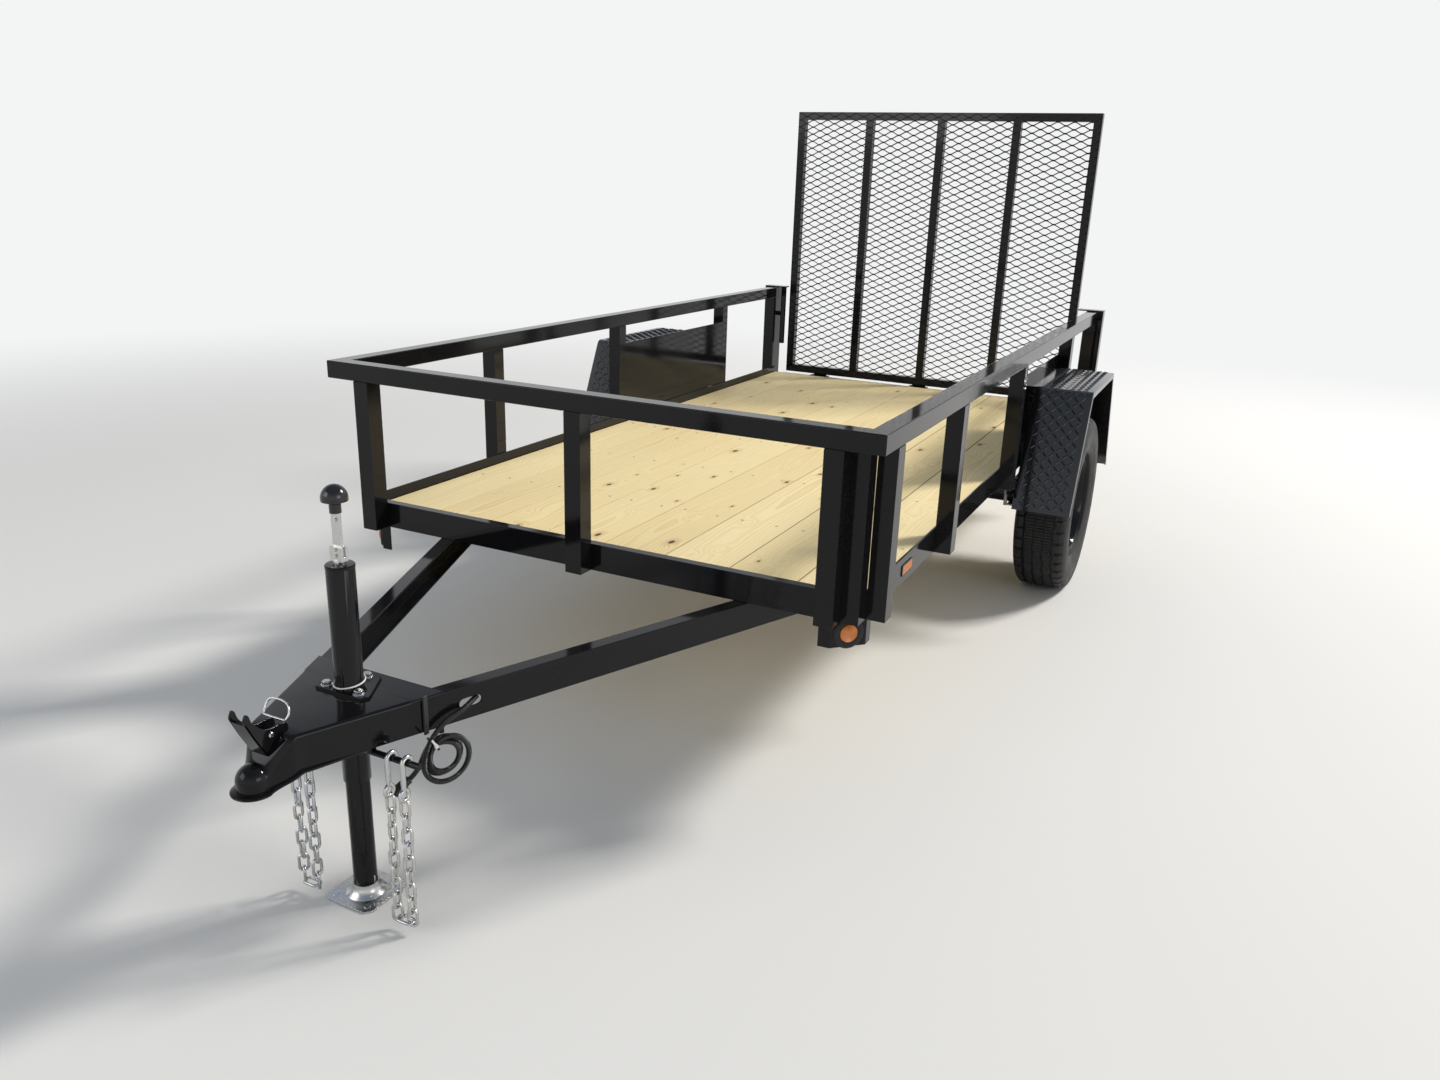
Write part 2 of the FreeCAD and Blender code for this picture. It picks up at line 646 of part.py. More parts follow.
# Coupler: a stamped wedge over both channels, a hollow neck and a ball socket with a flared lip
def coupler_shape():
    front = COUPLER_FRONT
    back = COUPLER_FRONT + D.coupler_long
    skirt_low = FRAME_LOW - D.coupler_skirt
    skirt_back = COUPLER_FRONT + D.skirt_long
    top = FRAME_LOW + D.coupler_sheet
    lip_low = BALL_HIGH - D.socket_drop
    lip_top = lip_low + D.lip_thick
    out = D.coupler_sheet * LEAN
    half = web_x(front) + out

    def rib(y, wide, low, high):
        return [point(-wide, y, low), point(wide, y, low), point(wide, y, high), point(-wide, y, high)]

    def section(y, wide, low, high, shrink):
        wide, high = wide - shrink, high - shrink
        shoulder = high - (high - low) * 0.25
        return [point(-wide, y, low), point(wide, y, low), point(wide, y, shoulder),
                point(wide * 0.72, y, high), point(-wide * 0.72, y, high), point(-wide, y, shoulder)]

    def neck(shrink):
        return flat_loft(section(front, half, skirt_low, top, shrink),
                         section(BALL, SOCKET, lip_low, BALL_HIGH + DOME, shrink))

    plate = sheet_face([point(-half, front, FRAME_LOW), point(half, front, FRAME_LOW),
                        point(web_x(back) + out, back, FRAME_LOW),
                        point(-web_x(back) - out, back, FRAME_LOW)]).extrude(UP * D.coupler_sheet.value)
    lap = front - D.coupler_sheet
    side = [point(web_x(lap) + out, lap, skirt_low), point(web_x(lap) + out, lap, top)]
    for y, z in ((skirt_back, top), (skirt_back, top - D.coupler_sheet), (skirt_back - D.skirt_slant, skirt_low)):
        side.append(point(web_x(y) + out, y, z))
    skirt = sheet_face(side).extrude(WEB_OUT * -D.coupler_sheet.value)
    lip_back = (front + BALL) / 2
    edge = flat_loft(rib(front, half + D.lip_over, skirt_low - D.lip_thick, skirt_low),
                     rib(BALL, D.lip_radius, lip_low, lip_top))
    under = section(front, half, skirt_low - 2 * D.lip_thick, top, D.coupler_sheet)
    opening = flat_loft(under, section(lip_back, SOCKET, lip_low - D.lip_thick, BALL_HIGH, D.coupler_sheet))
    dome = []
    for share in (0, 0.25, 0.5, 0.75, 1):
        turn = share * math.pi / 2
        dome.append((BALL_HIGH.value + SOCKET.value * math.sin(turn), SOCKET.value * math.cos(turn)))
    drum = stood_up(turned([(lip_low, 0), (lip_low, D.lip_radius), (lip_top, D.lip_radius), (lip_top, SOCKET)]
                           + dome, 24))
    drum.translate(point(0, BALL, 0))
    whole = neck(0).fuse([edge]).cut(neck(D.coupler_sheet.value)).cut(opening)
    whole = whole.fuse([drum, plate, skirt, mirrored(skirt)])
    bore = Part.makeCylinder(D.ball_bore.value, D.socket_drop.value, point(0, BALL, lip_low))
    room = D.ball_bore.value
    cap = stood_up(turned([(room * a, room * b) for a, b in ((-0.1, 0), (-0.1, 0.96), (0, 0.96), (0.5, 0.84),
                                                             (0.85, 0.5), (1, 0))], 24))
    cap.translate(point(0, BALL, BALL_HIGH))
    jack_hole = Part.makeCylinder(float(D.jack_tube_radius + D.jack_fit), 4 * D.coupler_sheet.value,
                                  point(0, JACK, FRAME_LOW - D.coupler_sheet))
    return whole.cut([bore, cap, jack_hole])


node(plain("coupler_all", coupler_shape()), "coupler")


# Coupler lever: a folded channel that stands open on the neck
def lever_shape():
    # distance behind the ball and height over it; the heel rests on the plate's front edge
    top = D.ball_drop + D.coupler_sheet
    toe = D.neck_long / 3
    toe_high = DOME + (top - DOME) / 3
    reach, high = D.lever_long, D.lever_high
    side = ((toe, toe_high), (toe - reach, toe_high + high * 0.85), (toe - reach * 0.82, toe_high + high),
            (toe - reach * 0.27, toe_high + high * 0.885), (toe + reach * 0.2, toe_high + high / 2),
            (D.neck_long + 14, toe_high + high * 0.48), (D.neck_long + 18, top), (D.neck_long, top))
    foot, tip = side[0], side[1]
    half = D.lever_wide / 2
    wall = D.lever_wall.value
    plate = sheet_face([point(-half, BALL + y, BALL_HIGH + z) for y, z in side])
    plate = plate.extrude(RIGHT * D.lever_wide.value)
    room = [(foot[0] + 2 * wall, foot[1] + wall), (tip[0] + 2 * wall, tip[1] + wall),
            (D.neck_long, toe_high + 1.2 * high), (D.neck_long + reach, top - 3 * wall)]
    inner = sheet_face([point(wall - half, BALL + y, BALL_HIGH + z) for y, z in room])
    inner = inner.extrude(RIGHT * (D.lever_wide.value - 2 * wall))
    return plate.cut(inner).removeSplitter()


node(plain("lever_all", lever_shape()), "coupler_latch")

# Jack: tube, mounting plate on the coupler and a ring under the tongue; crank and knob on top
JACK_LOW = FRAME_LOW - D.jack_drop
JACK_TOP = FRAME_LOW + D.jack_rise
PLATE_LOW = FRAME_LOW + D.coupler_sheet
jack_solid = rod("jack_solid", D.jack_tube_radius, JACK_TOP - JACK_LOW, (0, JACK, JACK_LOW))
jack_bore = rod("jack_bore_cut", D.jack_bore, JACK_TOP - JACK_LOW - D.jack_cap, (0, JACK, JACK_LOW))
R = D.jack_tube_radius
PLATE = ((-2.1, -1.2), (2.1, -1.2), (2.4, -0.6), (0.8, 2.3), (-0.8, 2.3), (-2.4, -0.6))
plate = padded("jack_plate", "XY_Plane", [(R * a, R * b) for a, b in PLATE], D.jack_plate_thick, (0, JACK, PLATE_LOW))
ring = rod("jack_ring", D.jack_ring_radius, D.jack_ring_thick, (0, JACK, TONGUE_LOW - D.jack_ring_thick))
flanges = weld("jack_flanges", [jack_solid, plate, ring])
node(minus("jack_tube_all", flanges, jack_bore), "jack_tube")

fork_low = JACK_TOP + D.clevis_high * 0.3
arm_front = JACK - D.arm_thick / 2
crank = [rod("crank_stem", D.knob_neck_radius, D.clevis_high * 0.4, (0, JACK, JACK_TOP)),
         block("crank_base", (D.clevis_wide, D.arm_thick, D.clevis_high * 0.3), (-D.clevis_wide / 2, arm_front, fork_low)),
         block("crank_arm", (D.arm_wide, D.arm_thick, JACK_TOP + D.jack_cap + D.arm_rise - fork_low),
               (-D.arm_wide / 2, arm_front, fork_low))]
for name, start in (("crank_fork_front", arm_front - D.leg_thick), ("crank_fork_back", JACK + D.arm_thick / 2)):
    crank.append(block(name, (D.clevis_wide, D.leg_thick, D.clevis_high), (-D.clevis_wide / 2, start, fork_low)))
node(weld("crank_all", crank), "jack_crank")

knob_top = D.knob_neck_high + D.knob_high
KNOB = [(0, 0), (0, D.knob_neck_radius), (D.knob_neck_high, D.knob_neck_radius)]
for share, wide in ((0, 0.8), (0.3, 1.0), (0.62, 0.94), (0.88, 0.6)):
    KNOB.append((D.knob_neck_high + D.knob_high * share, D.knob_radius * wide))
KNOB.append((knob_top, 0))
node(plain("knob", stood_up(turned(KNOB, 24)), (0, JACK, JACK_TOP + D.jack_cap + D.arm_rise)), "jack_knob")

LEG_TOP = JACK_TOP - D.jack_cap - D.jack_travel - D.jack_end_gap
node(rod("leg_rod", D.jack_leg_radius, LEG_TOP - D.foot_thick, (0, JACK, D.foot_thick)), "jack_leg")
side, cut = D.foot_side / 2, D.foot_side / 2 - D.foot_cut
FOOT = ((-cut, -side), (cut, -side), (side, -cut), (side, cut), (cut, side), (-cut, side), (-side, cut), (-side, -cut))
foot_plate = padded("foot_plate", "XY_Plane", FOOT, D.foot_thick, (0, JACK, 0))
cone = stood_up(turned([(0, D.jack_leg_radius * 0.9), (0, D.foot_cone_low_radius),
                        (D.foot_cone_high, D.foot_cone_top_radius),
                        (D.foot_cone_high, D.jack_leg_radius * 0.9)], 24))
cone = plain("foot_cone", cone, (0, JACK, D.foot_thick))
cone_bore = rod("foot_cone_bore", D.jack_leg_radius, D.foot_cone_high, (0, JACK, D.foot_thick))
node(weld("foot_all", [foot_plate, minus("foot_socket", cone, cone_bore)]), "jack_foot")

# Safety chains: each is doubled, its two ends on hooks over a bar under the tongue
CHAIN = JACK - D.chain_before_jack
BAR_Z = TONGUE_LOW - D.hook_gap - D.hook_wire - D.chain_bar_radius
STRAND = D.link_pitch / 2 + D.link_wire / 2
HOOK_DROP = D.hook_shank + D.hook_eye
HANG_Z = BAR_Z - HOOK_DROP - D.hook_eye + D.link_wire
HANG_Y = CHAIN - D.chain_bar_radius - D.hook_wire / 2


# A link of bent wire about a centre; "along" is its long way and "across" its short one
def link(centre, along, across):
    wire = D.link_wire.value
    hole = D.link_pitch.value / 2
    inner = D.link_wide.value / 2 - wire
    thick = along.cross(across)

    def loop(side, end, bevel):
        quarter = [(side - bevel, end), (side, end - bevel)]
        pts = quarter + [(a, -b) for a, b in quarter[::-1]]
        pts += [(-a, -b) for a, b in quarter] + [(-a, b) for a, b in quarter[::-1]]
        return sheet_face([centre + across * a + along * b - thick * (wire / 2) for a, b in pts])

    return loop(inner + wire, hole + wire, wire).cut(loop(inner, hole, inner / 4)).extrude(thick * wire)


def chain(middle_x):
    pitch = D.link_pitch.value
    links = []
    for sign in (-1, 1):
        for i in range(int(D.link_count.value)):
            centre = point(middle_x + sign * STRAND, HANG_Y, HANG_Z - pitch * (i + 0.5))
            links.append(link(centre, UP, RIGHT if i % 2 == 0 else BACK))
    low = HANG_Z - D.link_pitch * D.link_count + D.link_wire / 2
    links.append(link(point(middle_x, HANG_Y, low), RIGHT, BACK))
    return links[0].fuse(links[1:]).removeSplitter()


def hook(x):
    bar, wire = D.chain_bar_radius.value, D.hook_wire.value
    out, eye = bar + wire, D.hook_eye.value
    bend = math.tan(math.pi / 8)
    outer = [(-out, -D.hook_shank.value), (-out, out * bend), (-out * bend, out), (out * bend, out),
             (out, out * bend), (out, -2 * bar)]
    inner = [(bar, -2 * bar), (bar, bar * bend), (bar * bend, bar), (-bar * bend, bar), (-bar, bar * bend),
             (-bar, -D.hook_shank.value)]
    start = float(x) - wire / 2

    def slab(corners):
        return sheet_face([point(start, CHAIN + a, BAR_Z + b) for a, b in corners]).extrude(RIGHT * wire)

    def octagon(reach):
        cut = reach * bend
        ring = [(cut, reach), (reach, cut), (reach, -cut), (cut, -reach)]
        ring += [(-a, -b) for a, b in ring]
        return [(a - bar - wire / 2, b - HOOK_DROP.value) for a, b in ring]

    return slab(outer + inner).fuse(slab(octagon(eye))).cut(slab(octagon(eye - D.link_wire.value))).removeSplitter()


hooks = []
for name, middle in (("right", D.chain_right_x), ("left", D.chain_left_x)):
    node(plain("chain_%s" % name, chain(middle)), "safety_chain_" + name)
    hooks += [hook(middle - STRAND), hook(middle + STRAND)]
node(plain("hooks_all", Part.makeCompound(hooks)), "chain_hooks")
chain_rod = rod("chain_rod", D.chain_bar_radius, D.chain_bar_left + D.chain_bar_right,
                (-D.chain_bar_left, CHAIN, BAR_Z), "x")
chain_lug = block("chain_lug", (D.chain_lug_wide, 2 * D.chain_bar_radius, TONGUE_LOW - BAR_Z),
                  (web_x(CHAIN) - D.chain_lug_inset - D.chain_lug_wide, CHAIN - D.chain_bar_radius, BAR_Z))
node(weld("chain_bar_all", [chain_rod, chain_lug, other_side("chain_lug_left", chain_lug)]), "chain_bar")

# Axle with its spring seats, leaf springs and their fittings
HUB_BACK = WHEEL + D.disc_seat - D.rim_sheet - D.hub_long
SPRING = INNER - D.leg_wide / 2
AXLE_END = HUB_BACK - D.axle_gap
stub_long = D.axle_gap + D.hub_long + D.spindle_end
seat_half = 1.5 * D.axle_radius
axle_parts = [rod("axle_tube", D.axle_radius, 2 * AXLE_END, (-AXLE_END, AXLE, D.wheel_radius), "x"),
              rod("stub_right", D.spindle_radius, stub_long, (AXLE_END, AXLE, D.wheel_radius), "x"),
              rod("stub_left", D.spindle_radius, stub_long, (-AXLE_END - stub_long, AXLE, D.wheel_radius), "x")]
seat = block("seat_right", (D.spring_wide, 2 * seat_half, D.axle_radius),
             (SPRING - D.spring_wide / 2, AXLE - seat_half, D.wheel_radius))
node(weld("axle_all", axle_parts + [seat, other_side("seat_left", seat)]), "axle")

EYE = FRAME_LOW - D.eye_drop
SPRING_HALF = D.spring_span / 2
SPRING_X = SPRING - D.spring_wide / 2


def spring_shape():
    leaf = D.leaf_thick.value
    half = SPRING_HALF.value
    wide = RIGHT * D.spring_wide.value
    shares = (0.45, 0.72, 1.0)
    main_low = float(D.wheel_radius + D.axle_radius) + (len(shares) - 1) * leaf
    rise = float(EYE - D.eye_radius) - main_low
    bend = (half * half + rise * rise) / (2 * rise)

    def on_arc(radius, turn):
        return point(SPRING_X, AXLE + radius * math.sin(turn), main_low + bend - radius * math.cos(turn))

    parts = []
    for n, share in enumerate(shares):
        low = bend + (len(shares) - 1 - n) * leaf
        high = low - leaf
        turn = math.asin(half * share / low)
        edges = [Part.Arc(on_arc(low, -turn), on_arc(low, 0), on_arc(low, turn)).toShape(),
                 Part.LineSegment(on_arc(low, turn), on_arc(high, turn)).toShape(),
                 Part.Arc(on_arc(high, turn), on_arc(high, 0), on_arc(high, -turn)).toShape(),
                 Part.LineSegment(on_arc(high, -turn), on_arc(low, -turn)).toShape()]
        parts.append(Part.Face(Part.Wire(edges)).extrude(wide))
    bolts = []
    for y in (AXLE - SPRING_HALF, AXLE + SPRING_HALF):
        parts.append(Part.makeCylinder(D.eye_radius.value, D.spring_wide.value, point(SPRING_X, y, EYE), RIGHT))
        bolts.append(Part.makeCylinder(D.eye_bolt.value, D.spring_wide.value, point(SPRING_X, y, EYE), RIGHT))
    return parts[0].fuse(parts[1:]).cut(bolts).removeSplitter()


spring = spring_shape()
node(plain("springs_all", Part.makeCompound([spring, mirrored(spring)])), "leaf_springs")


def fitting_shape():
    wide = D.spring_wide.value
    thick = D.hanger_thick.value
    radius = D.eye_radius.value
    solids = []
    for y in (AXLE - SPRING_HALF, AXLE + SPRING_HALF):
        outline = [(-radius, D.eye_drop), (-radius, 0), (-radius / 2, -radius), (radius / 2, -radius),
                   (radius, 0), (radius, D.eye_drop)]
        parts = [Part.makeBox(wide + 2 * thick, 2 * radius, thick, point(SPRING_X - thick, y - radius, FRAME_LOW - thick)),
                 Part.makeCylinder(D.eye_bolt.value, wide + 2 * thick, point(SPRING_X - thick, y, EYE), RIGHT)]
        for x in (SPRING_X - thick, SPRING_X + wide):
            parts.append(sheet_face([point(x, y + a, EYE + b) for a, b in outline]).extrude(RIGHT * thick))
        solids.append(parts[0].fuse(parts[1:]).removeSplitter())
    low = D.wheel_radius - D.axle_radius - D.hanger_thick
    bolt = D.bolt_thick.value
    tall = float(2 * D.axle_radius + 3 * D.leaf_thick) + 2 * thick
    parts = [Part.makeBox(wide, 2 * seat_half.value, thick, point(SPRING_X, AXLE - seat_half, low))]
    for y in (AXLE - seat_half - bolt / 2, AXLE + seat_half - bolt / 2):
        parts.append(Part.makeBox(wide + 2 * bolt, bolt, thick, point(SPRING_X - bolt, y, low + tall - thick)))
        for x in (SPRING_X - bolt, SPRING_X + wide):
            parts.append(Part.makeBox(bolt, bolt, tall, point(x, y, low)))
    clamp = parts[0].fuse(parts[1:]).cut(spring).removeSplitter()
    return solids + clamp.Solids


fittings = fitting_shape()
node(plain("fittings_all", Part.makeCompound(fittings + [mirrored(solid) for solid in fittings])), "spring_fittings")


# Corner brackets bent round the bed's front corners, a marker lamp in each, side reflectors and tail lamps
def bracket_shapes():
    y = FRONT + D.tube
    low = FRAME_LOW - D.bracket_drop
    face = D.bracket_face / math.sqrt(2)
    leg, thick = D.bracket_leg, D.bracket_thick
    knee = thick * math.tan(math.pi / 8)
    outline = [(leg + face, 0), (face, 0), (0, face), (0, face + leg),
               (thick, face + leg), (thick, face + knee), (face + knee, thick), (leg + face, thick)]
    plate = sheet_face([point(INNER - a, y + b, low) for a, b in outline]).extrude(UP * D.bracket_drop.value)
    centre = point(INNER - face / 2, y + face / 2, low + D.bracket_drop / 2)
    aim = (RIGHT - BACK).normalize()
    hole = Part.makeCylinder(D.marker_radius.value, 2 * D.marker_deep.value, centre - aim * D.marker_deep.value, aim)
    lamp = Part.makeCylinder(D.marker_radius.value, D.marker_deep.value, centre - aim * (D.marker_deep * 0.7).value, aim)
    return plate.cut(hole), lamp


bracket, lamp = bracket_shapes()
node(plain("brackets_all", Part.makeCompound([bracket, mirrored(bracket)])), "marker_brackets")
reflector = Part.makeBox(D.reflector_thick.value, D.reflector_wide.value, D.reflector_high.value,
                         point(INNER, FRONT + D.reflector_behind, FRAME_LOW + D.reflector_rise))
node(plain("amber_all", Part.makeCompound([lamp, mirrored(lamp), reflector, mirrored(reflector)])), "marker_lamps")
tail = block("tail_lamp", (D.tail_lamp_wide, D.tail_lamp_deep, D.tail_lamp_high),
             (BED_HALF - D.tail_lamp_wide - D.tail_lamp_gap, REAR - D.leg_wide, FRAME_LOW - D.tail_lamp_high))
node(pair("tail_lamps_all", tail), "tail_lamps")

# Wheels: a tyre seated on a dished rim with hand holes, bolted to a hub
WHEEL_SIDES = 36
HUB_SIDES = 24
BEAD = D.rim_between / 2
RIM, WELL = D.rim_radius, D.rim_radius - D.rim_drop
T = D.rim_sheet
tyre_half = [(BEAD, RIM), (BEAD, RIM + D.rim_flange)]
for wide, high in ((0.455, 0.14), (0.5, 0.48), (0.49, 0.75), (0.45, 0.91), (0.37, 0.985), (0.14, 1.0)):
    tyre_half.append((D.tyre_wide * wide, RIM + D.rim_flange + (D.wheel_radius - RIM - D.rim_flange) * high))
TYRE = tyre_half + [(-along, radius) for along, radius in tyre_half[::-1]]
CROWN_R, DIP_R = RIM * 0.5, RIM * 0.68
DISC = ((D.disc_seat, D.hub_flange), (D.disc_crown, CROWN_R), (D.disc_in, DIP_R), (D.disc_out, WELL - T))
WELL_HALF = D.rim_between * 0.24
RIM_OUTLINE = [(-BEAD, RIM), (-BEAD, RIM + D.rim_flange), (-BEAD - T, RIM + D.rim_flange), (-BEAD - T, RIM - T),
               (-WELL_HALF, WELL - T)]
RIM_OUTLINE += [(along - T, radius) for along, radius in DISC[::-1]]
RIM_OUTLINE += [(D.disc_seat - T, D.hub_bore), (D.disc_seat, D.hub_bore)] + list(DISC)
RIM_OUTLINE += [(WELL_HALF, WELL - T), (BEAD + T, RIM - T), (BEAD + T, RIM + D.rim_flange),
                (BEAD, RIM + D.rim_flange), (BEAD, RIM), (WELL_HALF, WELL), (-WELL_HALF, WELL)]
FACE = D.disc_seat - T
HUB = [(D.disc_seat + D.cap_long, 0), (D.disc_seat + D.cap_long, D.cap_radius * 0.8),
       (D.disc_seat + D.cap_long * 0.85, D.cap_radius), (D.disc_seat, D.cap_radius), (FACE, D.hub_bore - D.hub_gap),
       (FACE, D.hub_flange), (FACE - D.hub_flange_thick, D.hub_flange), (FACE - D.hub_flange_thick, D.hub_radius),
       (FACE - D.hub_long, D.hub_radius), (FACE - D.hub_long, 0)]


def rim_shape():
    rim = turned(RIM_OUTLINE, WHEEL_SIDES)
    hole = turned([(0, 0), (0, D.hand_hole_radius), (D.disc_crown, D.hand_hole_radius), (D.disc_crown, 0)], 8)
    middle = (DIP_R + WELL) / 2
    holes = []
    for k in range(int(D.hand_hole_count.value)):
        cutter = hole.copy()
        cutter.translate(point(0, middle, 0))
        cutter.rotate(FreeCAD.Vector(), RIGHT, 360 * k / D.hand_hole_count.value)
        holes.append(cutter)
    return rim.cut(holes)


def hub_shape():
    bore_end = D.disc_seat + D.cap_long / 2
    bore = Part.makeCylinder(float(D.spindle_radius + D.spindle_gap), float(bore_end - FACE + D.hub_long),
                             point(FACE - D.hub_long, 0, 0), RIGHT)
    return turned(HUB, HUB_SIDES).cut(bore)


WHEEL_SHAPES = (("tyre", turned(TYRE, WHEEL_SIDES)), ("rim", rim_shape()), ("hub", hub_shape()))
for name, shape in WHEEL_SHAPES:
    node(plain(name + "_right_all", shape, (WHEEL, AXLE, D.wheel_radius)), name + "_right")
    node(plain(name + "_left_all", mirrored(shape), (-WHEEL, AXLE, D.wheel_radius)), name + "_left")

# Ramp gate: a frame of bars with expanded mesh on its bed side, hinged on three barrels
GATE_LOW = HINGE_HIGH + D.hinge_lift
GATE_TOP = GATE_LOW + D.gate_high
bar_pitch = (2 * GATE_HALF - D.gate_bar) / (D.gate_bar_count - 1)
gate_parts = []
for i in range(int(D.gate_bar_count.value)):
    gate_parts.append(block("gate_upright_%d" % i, (D.gate_bar, D.gate_bar, D.gate_high),
                            (i * bar_pitch - GATE_HALF, GATE, GATE_LOW)))
for name, low in (("gate_sill", GATE_LOW), ("gate_head", GATE_TOP - D.gate_bar)):
    gate_parts.append(block(name, (2 * GATE_HALF, D.gate_bar, D.gate_bar), (-GATE_HALF, GATE, low)))
node(weld("gate_frame_all", gate_parts), "gate_frame")
barrels = []
for i, lug_x in enumerate(HINGE_STARTS):
    start = lug_x + D.lug_thick + D.hinge_side_gap
    barrel = rod("barrel_%d" % i, D.hinge_barrel, D.barrel_long, (start, HINGE, HINGE_HIGH), "x")
    strap = block("strap_%d" % i, (D.barrel_long, D.hinge_barrel, D.hinge_lift),
                  (start, HINGE - D.hinge_barrel / 2, HINGE_HIGH))
    bore = rod("barrel_bore_%d" % i, D.hinge_bore, D.barrel_long, (start, HINGE, HINGE_HIGH), "x")
    barrels.append(minus("barrel_bored_%d" % i, weld("barrel_strap_%d" % i, [barrel, strap]), bore))
node(gather("barrels_all", barrels), "gate_hinges")


# One layer of the mesh: parallel strands, cut off at the gate's edges
def mesh_layer(direction, layer):
    half = float(GATE_HALF - D.mesh_margin)
    low, high = float(GATE_LOW + D.mesh_margin), float(GATE_TOP - D.mesh_margin)
    y = GATE - layer * D.mesh_layer
    slope = float(D.mesh_tall / D.mesh_wide)
    tall = D.mesh_strand.value * math.hypot(1, slope)
    rise = slope * 2 * half
    edge = sheet_face([point(-half, y, low), point(half, y, low), point(half, y, high), point(-half, y, high)])
    solids = []
    for n in range(-int(rise / D.mesh_tall.value) - 1, int((high - low) / D.mesh_tall.value) + 1):
        start = low + n * D.mesh_tall.value
        corners = [point(-half * direction, y, start), point(half * direction, y, start + rise),
                   point(half * direction, y, start + rise + tall), point(-half * direction, y, start + tall)]
        for face in edge.common(sheet_face(corners)).Faces:
            solids.append(face.extrude(BACK * D.mesh_layer.value))
    return Part.makeCompound(solids)


node(plain("mesh_rising", mesh_layer(1, 1)), "gate_mesh_rising")
node(plain("mesh_falling", mesh_layer(-1, 2)), "gate_mesh_falling")

# Wiring: a lead in a loom from the hole in the tongue, a coil tied under it, a short tail and a flat plug
HOLE = point(web_x(LOOM_Y), LOOM_Y, LOOM_Z)
COIL = HOLE + WEB_ALONG * D.coil_along.value + WEB_OUT * D.coil_out.value - UP * D.coil_drop.value
# along the tongue towards the nose, out from its web, and up, from the hole
LEAD = [HOLE + WEB_ALONG * a + WEB_OUT * b + UP * c
        for a, b, c in ((-20, -16, 0), (22, 14, -4), (68, 16, -16), (100, 12, -50), (110, 8, -106))]
# the same from the middle of the coil
TAIL = [COIL + WEB_ALONG * a + WEB_OUT * b + UP * c for a, b, c in ((38, 0, 2), (60, -1, -17), (82, -4, -30))]


LOOM_SIDES = 8


# A tube along straight runs joined by tangent arcs, each 0.45 of its shorter run
def loom_tube(name, route):
    edges = []
    start = route[0]
    for before, corner, after in zip(route, route[1:], route[2:]):
        arrive, leave = corner - before, after - corner
        turn = arrive.getAngle(leave)
        reach = 0.45 * min(arrive.Length, leave.Length)
        print(name, "radius", round(reach / math.tan(turn / 2), 1))
        first = corner - arrive.normalize() * reach
        last = corner + leave.normalize() * reach
        bulge = reach / math.tan(turn / 2) * (1 / math.cos(turn / 2) - 1)
        middle = corner + (leave - arrive).normalize() * bulge
        edges += [Part.LineSegment(start, first).toShape(), Part.Arc(first, middle, last).toShape()]
        start = last
    edges.append(Part.LineSegment(start, route[-1]).toShape())
    path = Part.Wire(edges)
    aim = (route[1] - route[0]).normalize()
    across = aim.cross(UP).normalize()
    over = aim.cross(across)
    ring = []
    for k in range(LOOM_SIDES):
        turn = 2 * math.pi * k / LOOM_SIDES
        ring.append(route[0] + (across * math.cos(turn) + over * math.sin(turn)) * D.loom_radius.value)
    section = Part.makePolygon(ring + [ring[0]])
    tube = path.makePipeShell([section], True, False)
    wanted = Part.Face(section).Area * path.Length
    print(name, "length", round(path.Length, 1), "volume share", round(tube.Volume / wanted, 4))
    return tube


def coil_shape(inner):
    half = D.coil_thick / 2
    shape = turned([(-half, inner), (-half, D.coil_radius), (half, D.coil_radius), (half, inner)], 24)
    return shape.rotate(FreeCAD.Vector(), UP, math.degrees(math.atan2(WEB_OUT.y, WEB_OUT.x)))


node(plain("coil_all", coil_shape(D.coil_hollow), COIL), "wiring_coil")
coil_ring = coil_shape(0)
coil_ring.translate(COIL)
lead = loom_tube("lead", LEAD).cut(coil_ring)
tail_lead = loom_tube("tail", TAIL).cut(coil_ring)
node(plain("lead_all", Part.makeCompound([lead, tail_lead])), "wiring_lead")


def plug_shape():
    aim = (TAIL[-1] - TAIL[-2]).normalize()
    across = aim.cross(UP).normalize()
    flat = aim.cross(across)
    wide, thick = D.plug_wide.value / 2, D.plug_thick.value / 2
    corners = [TAIL[-1] + across * a + flat * b for a, b in ((-wide, -thick), (wide, -thick), (wide, thick), (-wide, thick))]
    return sheet_face(corners).extrude(aim * D.plug_long.value)


node(plain("plug_all", plug_shape()), "wiring_plug")


# The tie that holds the coil up to the channel, seated on a flat of each
def tie_shape():
    top_flat = COIL + UP * D.coil_radius.value
    inner = -(D.coil_out - D.coil_thick / 2).value
    half = WEB_ALONG * (D.coil_tie.value / 2)
    edge = top_flat - WEB_OUT * D.coil_out.value
    corners = [edge - half, edge + half, edge + half - WEB_OUT * inner, edge - half - WEB_OUT * inner]
    return sheet_face(corners).extrude(UP * (TONGUE_LOW.value - top_flat.z))


node(plain("tie_all", tie_shape()), "wiring_tie")

doc.recompute()
bad = []
for obj in doc.Objects:
    if "Invalid" in obj.State or "Error" in obj.State:
        bad.append(obj.Name)
for obj in NODES:
    shape = obj.Shape
    if shape.isNull() or not shape.isValid():
        bad.append(obj.Label)
if bad:
    raise RuntimeError("not sound: " + ", ".join(bad))
os.makedirs("parts", exist_ok=True)
total = Part.makeCompound([obj.Shape for obj in NODES]).BoundBox
print("extent", total.XMin, total.XMax, total.YMin, total.YMax, total.ZMin, total.ZMax)
for obj in NODES:
    obj.Shape.exportStep("parts/%s.step" % obj.Label)
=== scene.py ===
"""Looks of an open utility trailer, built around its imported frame. All lengths are in metres."""
import json
import math
import random

import bmesh
import bpy
from mathutils import Matrix, Vector


